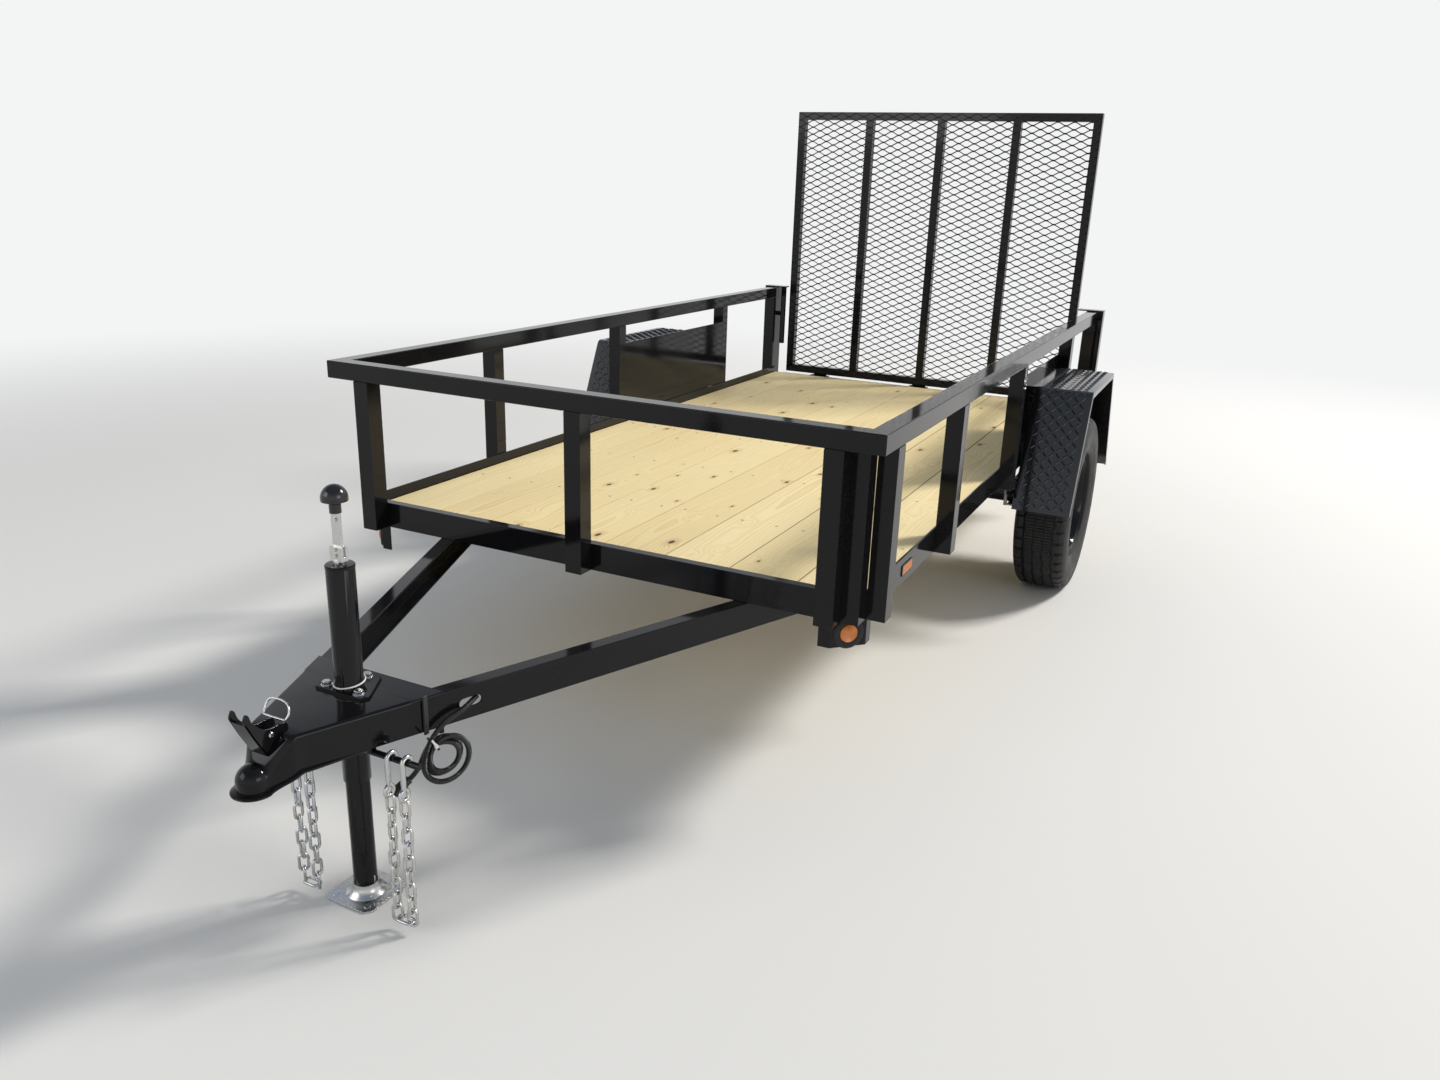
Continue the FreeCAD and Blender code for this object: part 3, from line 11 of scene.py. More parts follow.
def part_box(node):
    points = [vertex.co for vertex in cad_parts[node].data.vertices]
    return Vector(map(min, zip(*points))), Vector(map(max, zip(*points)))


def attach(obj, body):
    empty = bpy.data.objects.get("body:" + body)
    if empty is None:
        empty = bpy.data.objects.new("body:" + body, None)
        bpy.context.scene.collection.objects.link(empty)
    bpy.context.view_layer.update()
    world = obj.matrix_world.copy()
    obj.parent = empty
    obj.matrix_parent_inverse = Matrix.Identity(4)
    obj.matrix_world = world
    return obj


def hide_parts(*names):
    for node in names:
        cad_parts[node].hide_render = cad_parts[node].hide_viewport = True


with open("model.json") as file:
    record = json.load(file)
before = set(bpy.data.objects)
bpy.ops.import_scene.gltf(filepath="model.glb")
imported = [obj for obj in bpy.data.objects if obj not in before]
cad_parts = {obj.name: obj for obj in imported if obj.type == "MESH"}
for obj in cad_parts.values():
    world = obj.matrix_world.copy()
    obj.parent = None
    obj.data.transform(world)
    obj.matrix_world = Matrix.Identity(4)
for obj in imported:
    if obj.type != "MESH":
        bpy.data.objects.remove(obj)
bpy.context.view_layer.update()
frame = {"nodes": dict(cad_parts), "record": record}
NODES = frame["nodes"]


# Camera: the photograph's own view, solved from its straight edges
FRAME_WIDE = 1440
FOCAL_PIXELS = 1082.1
SENSOR = 36.0
CAMERA_PLACE = Vector((1.5672, -3.3649, 1.5183))
CAMERA_AZIMUTH = math.radians(26.01)
CAMERA_PITCH = math.radians(18.34)
CAMERA_ROLL = math.radians(-1.96)


def add_camera():
    data = bpy.data.cameras.new("camera")
    data.sensor_fit = "HORIZONTAL"
    data.sensor_width = SENSOR
    data.lens = FOCAL_PIXELS * SENSOR / FRAME_WIDE
    data.clip_start = 0.05
    data.clip_end = 200.0
    ahead = Vector((-math.sin(CAMERA_AZIMUTH) * math.cos(CAMERA_PITCH),
                    math.cos(CAMERA_AZIMUTH) * math.cos(CAMERA_PITCH),
                    -math.sin(CAMERA_PITCH)))
    level = ahead.cross(Vector((0, 0, 1))).normalized()
    upward = level.cross(ahead)
    turned = Matrix.Rotation(CAMERA_ROLL, 3, ahead)
    level, upward = turned @ level, turned @ upward
    camera = bpy.data.objects.new("camera", data)
    bpy.context.scene.collection.objects.link(camera)
    pose = Matrix((level, upward, -ahead)).transposed().to_4x4()
    pose.translation = CAMERA_PLACE
    camera.matrix_world = pose
    bpy.context.scene.camera = camera


# Node trees of the materials and of the world
class Tree:
    """A node tree with short ways to add the nodes that the finishes and the stage use."""

    def __init__(self, owner):
        owner.use_nodes = True
        self.owner = owner
        self.nodes = owner.node_tree.nodes
        self.links = owner.node_tree.links
        self.shader = self.nodes.get("Principled BSDF")
        self.place = self.node("TexCoord", out="Object")

    def feed(self, socket, value):
        """Give an input a socket, a colour as a tuple, or a number; None leaves it as it is."""
        if isinstance(value, bpy.types.NodeSocket):
            self.links.new(value, socket)
        elif isinstance(value, tuple):
            socket.default_value = (*value, 1.0)
        elif value is not None:
            socket.default_value = value

    def node(self, kind, *values, out=0, **settings):
        """Add a node, feed its first inputs and return one of its outputs."""
        node = self.nodes.new("ShaderNode" + kind)
        for name, value in settings.items():
            setattr(node, name, value)
        for socket, value in zip(node.inputs, values):
            self.feed(socket, value)
        return node.outputs[out]

    def set(self, **values):
        for name, value in values.items():
            self.feed(self.shader.inputs[name.replace("_", " ")], value)

    def math(self, kind, *values):
        return self.node("Math", *values, operation=kind)

    def times(self, a, b):
        return self.math("MULTIPLY", a, b)

    def plus(self, a, b):
        return self.math("ADD", a, b)

    def join(self, x, y, z):
        return self.node("CombineXYZ", x, y, z)

    def split(self, vector):
        node = self.nodes.new("ShaderNodeSeparateXYZ")
        self.feed(node.inputs[0], vector)
        return node.outputs

    def noise(self, scale, detail=2.0, rough=0.5, at=None):
        return self.node("TexNoise", at or self.place, None, scale, detail, rough)

    def range(self, value, low, high, out_low=0.0, out_high=1.0):
        return self.node("MapRange", value, low, high, out_low, out_high)

    def mix(self, share, a, b, kind="MIX"):
        """Mix two colours, whose inputs come after five of other types."""
        return self.node("Mix", share, *[None] * 5, a, b, out=2, data_type="RGBA", blend_type=kind)

    def ramp(self, value, *stops):
        node = self.nodes.new("ShaderNodeValToRGB")
        self.feed(node.inputs["Fac"], value)
        ramp = node.color_ramp
        while len(ramp.elements) < len(stops):
            ramp.elements.new(0.5)
        for element, (at, colour) in zip(ramp.elements, stops):
            element.position = at
            element.color = (*colour, 1.0)
        return node.outputs["Color"]

    def bump(self, height, strength, distance):
        """Add a bump on top of those that the shader has already."""
        node = self.nodes.new("ShaderNodeBump")
        normal = self.shader.inputs["Normal"]
        node.inputs["Strength"].default_value = strength
        node.inputs["Distance"].default_value = distance
        self.feed(node.inputs["Height"], height)
        if normal.is_linked:
            self.feed(node.inputs["Normal"], normal.links[0].from_socket)
        self.feed(normal, node.outputs["Normal"])


# Stage: a pale floor under soft light
FLOOR_SIZE = 160.0
FLOOR_COLOUR = (0.72, 0.715, 0.70)
BACKGROUND = (0.90, 0.905, 0.91)
CEILING = (0.22, 0.27, 0.35)
HORIZON, OVERHEAD = 0.22, 0.75
SKY_LIGHT, SKY_STRENGTH = (0.86, 0.92, 1.0), 0.42
FADE_FROM, FADE_TO = 3.2, 9.0


def seen_rays(t):
    """Share of rays that look at the backdrop itself: straight, mirrored or through a lens."""
    rays = t.nodes.new("ShaderNodeLightPath").outputs
    share = rays["Is Camera Ray"]
    for kind in ("Is Glossy Ray", "Is Transmission Ray"):
        share = t.node("Math", share, rays[kind], operation="ADD", use_clamp=True)
    return share


def add_floor():
    """A floor that fades into the backdrop's colour away from the object."""
    bpy.ops.mesh.primitive_plane_add(size=FLOOR_SIZE, location=(0, 0, 0))
    floor = bpy.context.object
    floor.name = "floor"
    t = Tree(bpy.data.materials.new("floor_paint"))
    t.set(Base_Color=FLOOR_COLOUR, Roughness=0.85, Specular_IOR_Level=0.2)
    reach = t.node("VectorMath", t.place, out="Value", operation="LENGTH")
    fade = t.node("MapRange", reach, FADE_FROM, FADE_TO, interpolation_type="SMOOTHSTEP")
    glow = t.node("Emission", BACKGROUND)
    mix = t.node("MixShader", t.times(fade, seen_rays(t)), t.shader.outputs["BSDF"], glow)
    t.feed(t.nodes["Material Output"].inputs["Surface"], mix)
    floor.data.materials.append(t.owner)


def add_world():
    """Even light from the sky; the backdrop is white at the horizon and darker overhead."""
    world = bpy.data.worlds.new("studio")
    bpy.context.scene.world = world
    world.use_nodes = True
    world.node_tree.nodes.clear()
    t = Tree(world)
    above = t.split(t.node("TexCoord", out="Generated"))["Z"]
    seen = t.node("Background", t.ramp(above, (HORIZON, BACKGROUND), (OVERHEAD, CEILING)))
    light = t.node("Background", SKY_LIGHT, SKY_STRENGTH)
    mix = t.node("MixShader", seen_rays(t), light, seen)
    t.feed(t.nodes.new("ShaderNodeOutputWorld").inputs["Surface"], mix)


def add_lamp(name, place, aim, size, power, colour=(1, 1, 1)):
    data = bpy.data.lights.new(name, "AREA")
    data.shape = "RECTANGLE"
    data.size, data.size_y = size
    data.energy = power
    data.color = colour
    lamp = bpy.data.objects.new(name, data)
    bpy.context.scene.collection.objects.link(lamp)
    lamp.location = place
    lamp.rotation_euler = (Vector(aim) - Vector(place)).to_track_quat("-Z", "Y").to_euler()


add_camera()
add_world()
add_lamp("key", (9.0, 10.0, 11.7), (0, 0, 0.3), (3.4, 3.4), 3100, (1.0, 0.96, 0.90))
add_lamp("front_fill", (-3.5, -6.5, 3.5), (0, -1.0, 0.5), (4.0, 3.0), 90)
add_lamp("side_fill", (7.0, -2.5, 2.6), (0, 0, 0.5), (4.0, 2.5), 70)
add_floor()


# Finishes: rough is the span of roughness over a surface
DUST, GRIME, RUBBER = (0.20, 0.17, 0.13), (0.07, 0.065, 0.058), (0.011, 0.011, 0.012)


def enamel(name, base=(0.006, 0.006, 0.007), rough=(0.05, 0.12), dust=0.03, gloss=0.24):
    """Glossy black enamel: orange peel, a film of dust and slightly duller patches."""
    t = Tree(bpy.data.materials.new(name))
    patches = t.noise(3.5, 4.0, 0.6)
    specks = t.noise(90.0, 3.0, 0.7)
    film = t.times(t.range(patches, 0.45, 0.75), t.range(specks, 0.5, 0.8, 0.2, 1.0))
    t.set(Base_Color=t.mix(t.times(film, dust), base, DUST),
          Roughness=t.range(patches, 0.3, 0.7, *rough), Specular_IOR_Level=gloss)
    t.bump(t.noise(55.0), 0.05, 0.0008)
    t.bump(t.noise(420.0, 1.0), 0.05, 0.0002)
    return t.owner


def zinc(name, base=(0.55, 0.57, 0.60), rough=(0.18, 0.34)):
    """Bright zinc plate: a mottled metal, in places a little yellower."""
    t = Tree(bpy.data.materials.new(name))
    spangle = t.noise(60.0, 3.0, 0.6)
    yellower = (base[0] * 1.05, base[1], base[2] * 0.90)
    t.set(Base_Color=t.mix(t.range(t.noise(14.0), 0.4, 0.6), base, yellower),
          Roughness=t.range(spangle, 0.3, 0.7, *rough), Metallic=1.0)
    t.bump(spangle, 0.15, 0.0006)
    return t.owner


def rubber(name):
    """Black rubber with a thin, uneven grime."""
    t = Tree(bpy.data.materials.new(name))
    grime = t.noise(20.0, 4.0, 0.6)
    t.set(Base_Color=t.mix(t.range(grime, 0.4, 0.8, 0.0, 0.22), RUBBER, GRIME),
          Roughness=t.range(grime, 0.3, 0.7, 0.45, 0.65), Specular_IOR_Level=0.3)
    t.bump(t.noise(500.0), 0.15, 0.0004)
    return t.owner


def plastic(name, base, rough):
    """Moulded plastic with a fine grain and slightly darker clouds."""
    t = Tree(bpy.data.materials.new(name))
    cloud = t.noise(40.0, 3.0)
    t.set(Base_Color=t.mix(t.range(cloud, 0.3, 0.7, 0.0, 0.3), base, tuple(c * 0.7 + 0.01 for c in base)),
          Roughness=t.range(cloud, 0.3, 0.7, *rough))
    t.bump(t.noise(900.0, 1.0), 0.06, 0.0002)
    return t.owner


def lens(name, base):
    """Tinted lens under a clear coat, uneven in depth."""
    t = Tree(bpy.data.materials.new(name))
    depth = t.noise(70.0)
    t.set(Base_Color=t.mix(t.range(depth, 0.3, 0.7, 0.0, 0.5), base, tuple(c * 0.75 for c in base)),
          Roughness=t.range(depth, 0.3, 0.7, 0.08, 0.16), Coat_Weight=0.6, Coat_Roughness=0.03)
    return t.owner


# Pine: the tones of its grain, knots and seams, the tint of each board, and how its rings grow
BOARDS = 8
PALE_WOOD, RING_WOOD, STREAK_WOOD = (0.90, 0.77, 0.46), (0.75, 0.56, 0.27), (0.66, 0.49, 0.25)
KNOT_HALO, KNOT_HEART, SEAM_SHADE = (0.50, 0.30, 0.11), (0.11, 0.05, 0.02), (0.10, 0.07, 0.04)
BOARD_TONES = ((0.0, (0.93, 0.89, 0.80)), (0.5, (1.0, 0.99, 0.96)), (1.0, (0.97, 0.93, 0.83)))
BOARD_SHIFT = 37.0
KNOTS_ACROSS, KNOTS_ALONG, KNOT_FALL = 7.5, 3.6, 40.0
PITH_SWAY, PITH_DEEP, PITH_DRIFT = 0.16, 0.045, 0.05
RING_GAP, RING_BULGE, RING_RIPPLE = 0.0085, 0.02, 0.008


def knots(t, across, along, shift):
    """Distance from the nearest knot's middle, and two random numbers of that knot."""
    node = t.nodes.new("ShaderNodeTexVoronoi")
    node.voronoi_dimensions = "2D"
    node.inputs["Scale"].default_value = 1.0
    node.inputs["Randomness"].default_value = 0.9
    t.feed(node.inputs["Vector"], t.join(t.math("MULTIPLY_ADD", across, KNOTS_ACROSS, shift),
                                         t.times(along, KNOTS_ALONG), 0.0))
    chance, size, spare = t.split(node.outputs["Color"])
    return node.outputs["Distance"], chance, size


def ring_radius(t, across, along, shift, near):
    """Distance from a wandering pith below the board, bulging round each knot."""
    sway = t.noise(1.1, at=t.join(shift, along, 0.0))
    off = t.plus(across, t.times(t.math("SUBTRACT", sway, 0.5), PITH_SWAY))
    deep = t.plus(PITH_DEEP, t.times(t.noise(0.7, 1.0, at=t.join(along, shift, 3.0)), PITH_DRIFT))
    radius = t.math("SQRT", t.plus(t.times(off, off), t.times(deep, deep)))
    bulge = t.math("EXPONENT", t.times(t.times(near, near), -KNOT_FALL))
    ripple = t.noise(6.0, 3.0, 0.6, at=t.join(across, t.times(along, 0.25), shift))
    return t.plus(t.plus(radius, t.times(bulge, RING_BULGE)), t.times(ripple, RING_RIPPLE))


def pine(name):
    """Raw pine planks: growth rings, fine streaks, knots and a tone for each board."""
    t = Tree(bpy.data.materials.new(name))
    low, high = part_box("deck_boards")
    pitch = (high.x - low.x) / BOARDS
    x, y, z = t.split(t.place)
    number = t.math("FLOOR", t.math("DIVIDE", t.math("SUBTRACT", x, low.x), pitch))
    tone = t.node("TexWhiteNoise", None, number, noise_dimensions="1D")
    across = t.math("SUBTRACT", x, t.math("MULTIPLY_ADD", number, pitch, low.x + pitch / 2))
    shift = t.times(tone, BOARD_SHIFT)
    along = t.plus(y, shift)
    near, chance, size = knots(t, across, along, shift)
    ring = t.math("FRACT", t.math("DIVIDE", ring_radius(t, across, along, shift, near), RING_GAP))
    grain = t.range(ring, 0.35, 1.0)
    streak = t.noise(1.0, 4.0, 0.65, at=t.join(t.times(x, 420.0), t.times(along, 9.0), 0.0))
    faint = t.range(t.noise(0.9, at=t.join(shift, along, 7.0)), 0.35, 0.65, 0.25, 0.75)
    wood = t.mix(t.times(grain, faint), PALE_WOOD, RING_WOOD)
    wood = t.mix(t.range(streak, 0.4, 0.75, 0.0, 0.30), wood, STREAK_WOOD)
    wood = t.mix(0.8, wood, t.ramp(tone, *BOARD_TONES), "MULTIPLY")
    chosen = t.range(chance, 0.58, 0.60)
    near = t.math("DIVIDE", near, t.range(size, 0.0, 1.0, 0.30, 1.15))
    wood = t.mix(t.times(t.range(near, 0.06, 0.20, 0.45, 0.0), chosen), wood, KNOT_HALO)
    wood = t.mix(t.times(t.range(near, 0.048, 0.064, 1.0, 0.0), chosen), wood, KNOT_HEART)
    edge = t.math("SUBTRACT", pitch / 2, t.math("ABSOLUTE", across))
    wood = t.mix(t.range(edge, 0.0008, 0.0022, 0.60, 0.0), wood, SEAM_SHADE)
    t.set(Base_Color=wood, Roughness=t.range(streak, 0.3, 0.7, 0.55, 0.75), Specular_IOR_Level=0.35)
    t.bump(t.plus(t.times(grain, 0.5), streak), 0.25, 0.0006)
    return t.owner


FINISHES = {
    "gloss_black": (enamel, {}),
    "tread_plate_black": (enamel, {"rough": (0.07, 0.13), "gloss": 0.85}),
    "mesh_black": (enamel, {"rough": (0.25, 0.35)}),
    "axle_black": (enamel, {"rough": (0.35, 0.5), "dust": 0.15}),
    "spring_steel": (enamel, {"base": (0.02, 0.02, 0.02), "rough": (0.4, 0.55), "dust": 0.15}),
    "deck_wood": (pine, {}),
    "tyre_rubber": (rubber, {}),
    "rim_black": (enamel, {}),
    "hub_black": (enamel, {"rough": (0.2, 0.3)}),
    "zinc": (zinc, {}),
    "zinc_dull": (zinc, {"base": (0.34, 0.35, 0.36), "rough": (0.35, 0.55)}),
    "black_knob": (plastic, {"base": (0.012, 0.012, 0.013), "rough": (0.12, 0.2)}),
    # Amber lenses: their own tint, darkened a little as painted shade over the marker lamps and reflectors
    "amber_lens": (lens, {"base": (0.64, 0.19, 0.012)}),
    "red_lens": (lens, {"base": (0.45, 0.012, 0.010)}),
    "loom_black": (plastic, {"base": (0.010, 0.010, 0.011), "rough": (0.20, 0.30)}),
    "plug_black": (plastic, {"base": (0.018, 0.018, 0.018), "rough": (0.4, 0.55)}),
    "grommet_rubber": (rubber, {}),
    "tie_white": (plastic, {"base": (0.75, 0.75, 0.72), "rough": (0.3, 0.45)}),
}
made = {}


def finish_of(slot):
    if slot not in made:
        maker, values = FINISHES[slot]
        made[slot] = maker(slot, **values)
    return made[slot]


def dress_nodes():
    for part in frame["record"]["subparts"]:
        mesh = NODES[part["node"]].data
        mesh.materials.clear()
        mesh.materials.append(finish_of(part["material_slot"]))


dress_nodes()


# Mesh building
UP = Vector((0, 0, 1))
SQUARE = ((-1, -1), (1, -1), (1, 1), (-1, 1))
FIRST_SIDE = Vector((0.3, 0.5, 0.81))


def arc(turn, steps):
    return [turn * k / steps for k in range(steps + 1)]


def around(count):
    return arc(2 * math.pi, count)[:-1]


def ease(t):
    t = min(max(t, 0.0), 1.0)
    return t * t * (3 - 2 * t)


def mixed(a, b, share):
    return a + (b - a) * share


def rounded(points, radius, steps=3):
    """A closed flat outline with its corners rounded."""
    points = [Vector(p) for p in points]
    out = []
    for k, corner in enumerate(points):
        back = points[k - 1] - corner
        ahead = points[(k + 1) % len(points)] - corner
        reach = min(radius, 0.45 * back.length, 0.45 * ahead.length)
        a, b = corner + back.normalized() * reach, corner + ahead.normalized() * reach
        for i in range(steps + 1):
            t = i / steps
            out.append(a.lerp(corner, t).lerp(corner.lerp(b, t), t))
    return out


def smooth_line(points, steps):
    """A curve through points, flat or in space."""
    out = []
    for k in range(len(points) - 1):
        p0, p1 = points[max(k - 1, 0)], points[k]
        p2, p3 = points[k + 1], points[min(k + 2, len(points) - 1)]
        for i in range(steps):
            t = i / steps
            out.append(tuple(0.5 * (2 * b + (c - a) * t + (2 * a - 5 * b + 4 * c - d) * t * t
                                    + (3 * b - a - 3 * c + d) * t ** 3)
                             for a, b, c, d in zip(p0, p1, p2, p3)))
    return out + [tuple(points[-1])]


def centre(node):
    low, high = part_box(node)
    return (low + high) / 2


class Shape:
    """Points and faces of one piece, put together from sweeps, turnings and slabs."""

    def __init__(self):
        self.points = []
        self.faces = []

    def add(self, points, faces):
        start = len(self.points)
        self.points += [tuple(p) for p in points]
        self.faces += [[start + i for i in face] for face in faces]

    def rings(self, rings, closed=False):
        """Walls between outlines of as many points each, with a face at both ends of an open run."""
        size, count = len(rings[0]), len(rings)
        faces = []
        for k in range(count if closed else count - 1):
            a, b = k * size, (k + 1) % count * size
            for i in range(size):
                j = (i + 1) % size
                faces.append([a + i, a + j, b + j, b + i])
        if not closed:
            faces += [list(range(size))[::-1], [(count - 1) * size + i for i in range(size)]]
        self.add([p for ring in rings for p in ring], faces)

    def tube(self, path, radius, sides=10, closed=False):
        """A round tube along a path; the radius is a number, or a list with one for each point."""
        path = [Vector(p) for p in path]
        count = len(path)
        radii = radius if isinstance(radius, list) else [radius] * count
        side = None
        rings = []
        for k, spot in enumerate(path):
            ahead = path[(k + 1) % count] - spot if closed or k < count - 1 else spot - path[k - 1]
            behind = spot - path[k - 1] if closed or k else ahead
            along = (ahead.normalized() + behind.normalized()).normalized()
            if side is None:
                side = along.cross(FIRST_SIDE).normalized()
            side = (side - along * side.dot(along)).normalized()
            over = along.cross(side)
            rings.append([spot + (side * math.cos(a) + over * math.sin(a)) * radii[k] for a in around(sides)])
        self.rings(rings, closed)

    def turn(self, outline, place, axis, sides=48):
        """An outline, given as places along an axis and out from it, turned round that axis."""
        axis = Vector(axis).normalized()
        side = axis.orthogonal().normalized()
        over = axis.cross(side)
        rings = []
        for a in around(sides):
            out = side * math.cos(a) + over * math.sin(a)
            rings.append([Vector(place) + axis * along + out * reach for along, reach in outline])
        self.rings(rings, closed=True)

    def slab(self, outline, offset):
        """A flat outline pushed along a vector."""
        self.rings([[Vector(p) for p in outline], [Vector(p) + Vector(offset) for p in outline]])

    def made(self, name, slot, body="chassis", smooth=35, bevel=0.0, replaces=()):
        """The finished piece: welded, facing outwards, in its finish and riding on its body."""
        mesh = bpy.data.meshes.new(name)
        mesh.from_pydata(self.points, [], self.faces)
        bm = bmesh.new()
        bm.from_mesh(mesh)
        bmesh.ops.remove_doubles(bm, verts=bm.verts, dist=2e-5)
        bmesh.ops.dissolve_degenerate(bm, edges=bm.edges, dist=1e-6)
        bmesh.ops.recalc_face_normals(bm, faces=bm.faces)
        if bm.calc_volume(signed=True) < 0:
            bmesh.ops.reverse_faces(bm, faces=bm.faces)
        bm.to_mesh(mesh)
        bm.free()
        mesh.shade_smooth()
        mesh.set_sharp_from_angle(angle=math.radians(smooth))
        mesh.materials.append(finish_of(slot))
        piece = bpy.data.objects.new(name, mesh)
        bpy.context.scene.collection.objects.link(piece)
        if bevel:
            add_bevel(piece, bevel)
        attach(piece, body)
        if replaces:
            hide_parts(*replaces)
        return piece


def add_bevel(piece, width):
    edge = piece.modifiers.new("edges", "BEVEL")
    edge.width = width
    edge.segments = 2
    edge.limit_method = "ANGLE"
    edge.angle_limit = math.radians(40)
    edge.harden_normals = True


def cut_out(piece, cutter):
    """Take a shape out of a piece and keep the result as the piece's mesh."""
    mesh = bpy.data.meshes.new("cutter")
    mesh.from_pydata(cutter.points, [], cutter.faces)
    tool = bpy.data.objects.new("cutter", mesh)
    bpy.context.scene.collection.objects.link(tool)
    cut = piece.modifiers.new("holes", "BOOLEAN")
    cut.operation = "DIFFERENCE"
    cut.object = tool
    cut.solver = "EXACT"
    bpy.context.view_layer.update()
    solid = bpy.data.meshes.new_from_object(piece.evaluated_get(bpy.context.evaluated_depsgraph_get()))
    piece.modifiers.clear()
    piece.data = solid
    bpy.data.objects.remove(tool)


# The tubes, angles and sheets are rolled or bent, so their edges are softened by these widths
EDGES = {
    0.0030: ("top_rail",),
    0.0020: ("tongue_channels",),
    0.0014: ("corner_posts", "front_posts", "side_posts", "rear_posts"),
    0.0012: ("frame_front", "frame_sides", "frame_rear", "crossmembers", "gate_frame", "axle", "tail_lamps"),
    0.0010: ("gate_hinges", "gate_latch_bar", "fender_ledges", "deck_boards", "jack_tube", "wiring_tie"),
    0.0008: ("fender_panels", "marker_brackets", "jack_crank", "spring_fittings"),
}


def soften_edges():
    for width, names in EDGES.items():
        for name in names:
            weld = NODES[name].modifiers.new("weld", "WELD")
            weld.merge_threshold = 1e-5
            add_bevel(NODES[name], width)


soften_edges()


# Places shared with the solids
RAIL_LOW, RAIL_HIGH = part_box("top_rail")
RAIL_FRONT, REAR, HALF = RAIL_LOW.y, RAIL_HIGH.y, RAIL_HIGH.x
TUBE = 0.0508
INNER = HALF - TUBE
FRAME_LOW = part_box("frame_sides")[0].z
TONGUE_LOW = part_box("tongue_channels")[0].z
BALL_Y = RAIL_FRONT - 1.076
JACK_Y = centre("jack_leg").y
JACK = Vector((0, JACK_Y, 0))
SPREAD = 0.415
LEAN = math.hypot(1, SPREAD)
WEB_ALONG = Vector((-SPREAD / LEAN, -1 / LEAN, 0))
WEB_OUT = Vector((1 / LEAN, -SPREAD / LEAN, 0))
WEB_FRONT_X, WEB_FRONT_Y = 0.0697, RAIL_FRONT - 0.985


def web_x(y):
    """Outer face of the right channel's web."""
    return WEB_FRONT_X + SPREAD * (y - WEB_FRONT_Y)


# Wiring: lead, coil and tail on one line, in ribbed split loom
LOOM_Y = RAIL_FRONT - 0.677
HOLE = Vector((web_x(LOOM_Y), LOOM_Y, (FRAME_LOW + TONGUE_LOW) / 2))
COIL = HOLE + WEB_ALONG * 0.070 + WEB_OUT * 0.008 - UP * 0.106
LOOM, LOOM_STEP = 0.0124, 0.0008
RIB = (0.0, 0.0002, 0.0013, 0.0013)

# Points of the lead from the hole and of the tail from the coil: along the web, out from it, up
LEAD = ((-0.020, -0.016, 0.0), (0.022, 0.014, -0.004), (0.068, 0.017, -0.016), (0.108, 0.018, -0.050))
TAIL = ((0.060, -0.007, -0.017), (0.082, -0.008, -0.030))

# Turns of the coil: radius, its middle along the web and up, and its layer out from the web
TURNS = ((0.0530, 0.0, 0.0, 0.0072), (0.0340, 0.0037, 0.0059, 0.0060), (0.0430, 0.0027, 0.0042, -0.0072))
COIL_TURNS = 2.92
STEPS_A_TURN = 14
CHANGE_FROM = 0.70


def loose_turn(t):
    """Row of TURNS after t turns: each loop eases into the next over its last part."""
    number = min(int(t), len(TURNS) - 1)
    onward = ease((t - number - CHANGE_FROM) / (1 - CHANGE_FROM)) if number < len(TURNS) - 1 else 0.0
    after = TURNS[min(number + 1, len(TURNS) - 1)]
    return [mixed(a, b, onward) for a, b in zip(TURNS[number], after)]


def beside_web(place, along, out, up):
    return place + WEB_ALONG * along + WEB_OUT * out + UP * up


def loom_route():
    route = [beside_web(HOLE, *point) for point in LEAD]
    steps = round(COIL_TURNS * STEPS_A_TURN)
    for k in range(steps + 1):
        t = COIL_TURNS * k / steps
        reach, ahead, above, layer = loose_turn(t)
        angle = -2 * math.pi * t
        route.append(beside_web(COIL, ahead + reach * math.cos(angle), layer,
                                above + reach * math.sin(angle)))
    return route + [beside_web(COIL, *point) for point in TAIL]


def spline_points(route):
    curve = bpy.data.curves.new("loom_route", "CURVE")
    curve.dimensions = "3D"
    spline = curve.splines.new("NURBS")
    spline.points.add(len(route) - 1)
    for spot, place in zip(spline.points, route):
        spot.co = (*place, 1.0)
    spline.order_u = 3
    spline.use_endpoint_u = True
    spline.resolution_u = 12
    holder = bpy.data.objects.new("loom_route", curve)
    mesh = bpy.data.meshes.new_from_object(holder)
    points = [v.co.copy() for v in mesh.vertices]
    bpy.data.objects.remove(holder)
    return points


def evenly(points, step):
    """Points on a line of points, a set distance apart."""
    out, carried = [points[0]], 0.0
    for a, b in zip(points, points[1:]):
        run = (b - a).length
        at = step - carried
        while at <= run:
            out.append(a.lerp(b, at / run))
            at += step
        carried = (carried + run) % step
    return out


# Flat plug: stations along it with their half widths and half thicknesses, and its four pins
PLUG = ((-0.004, 0.0075, 0.0068), (0.006, 0.0080, 0.0070), (0.012, 0.0125, 0.0062), (0.036, 0.0130, 0.0062),
        (0.038, 0.0120, 0.0054))
PINS, PIN_GAP, PIN_LONG, PIN_RADIUS = 4, 0.0058, 0.007, 0.0022


def add_plug(end, aim):
    across = aim.cross(UP).normalized()
    flat = aim.cross(across)
    plug = Shape()
    rings = []
    for along, wide, thick in PLUG:
        middle = end + aim * along
        rings.append(rounded([middle + across * a * wide + flat * b * thick for a, b in SQUARE], 0.004))
    plug.rings(rings)
    for k in range(PINS):
        root = end + aim * PLUG[-1][0] + across * (k - (PINS - 1) / 2) * PIN_GAP
        plug.tube([root, root + aim * PIN_LONG], PIN_RADIUS)
    return plug.made("wiring_flat_plug", "plug_black", replaces=("wiring_plug",))


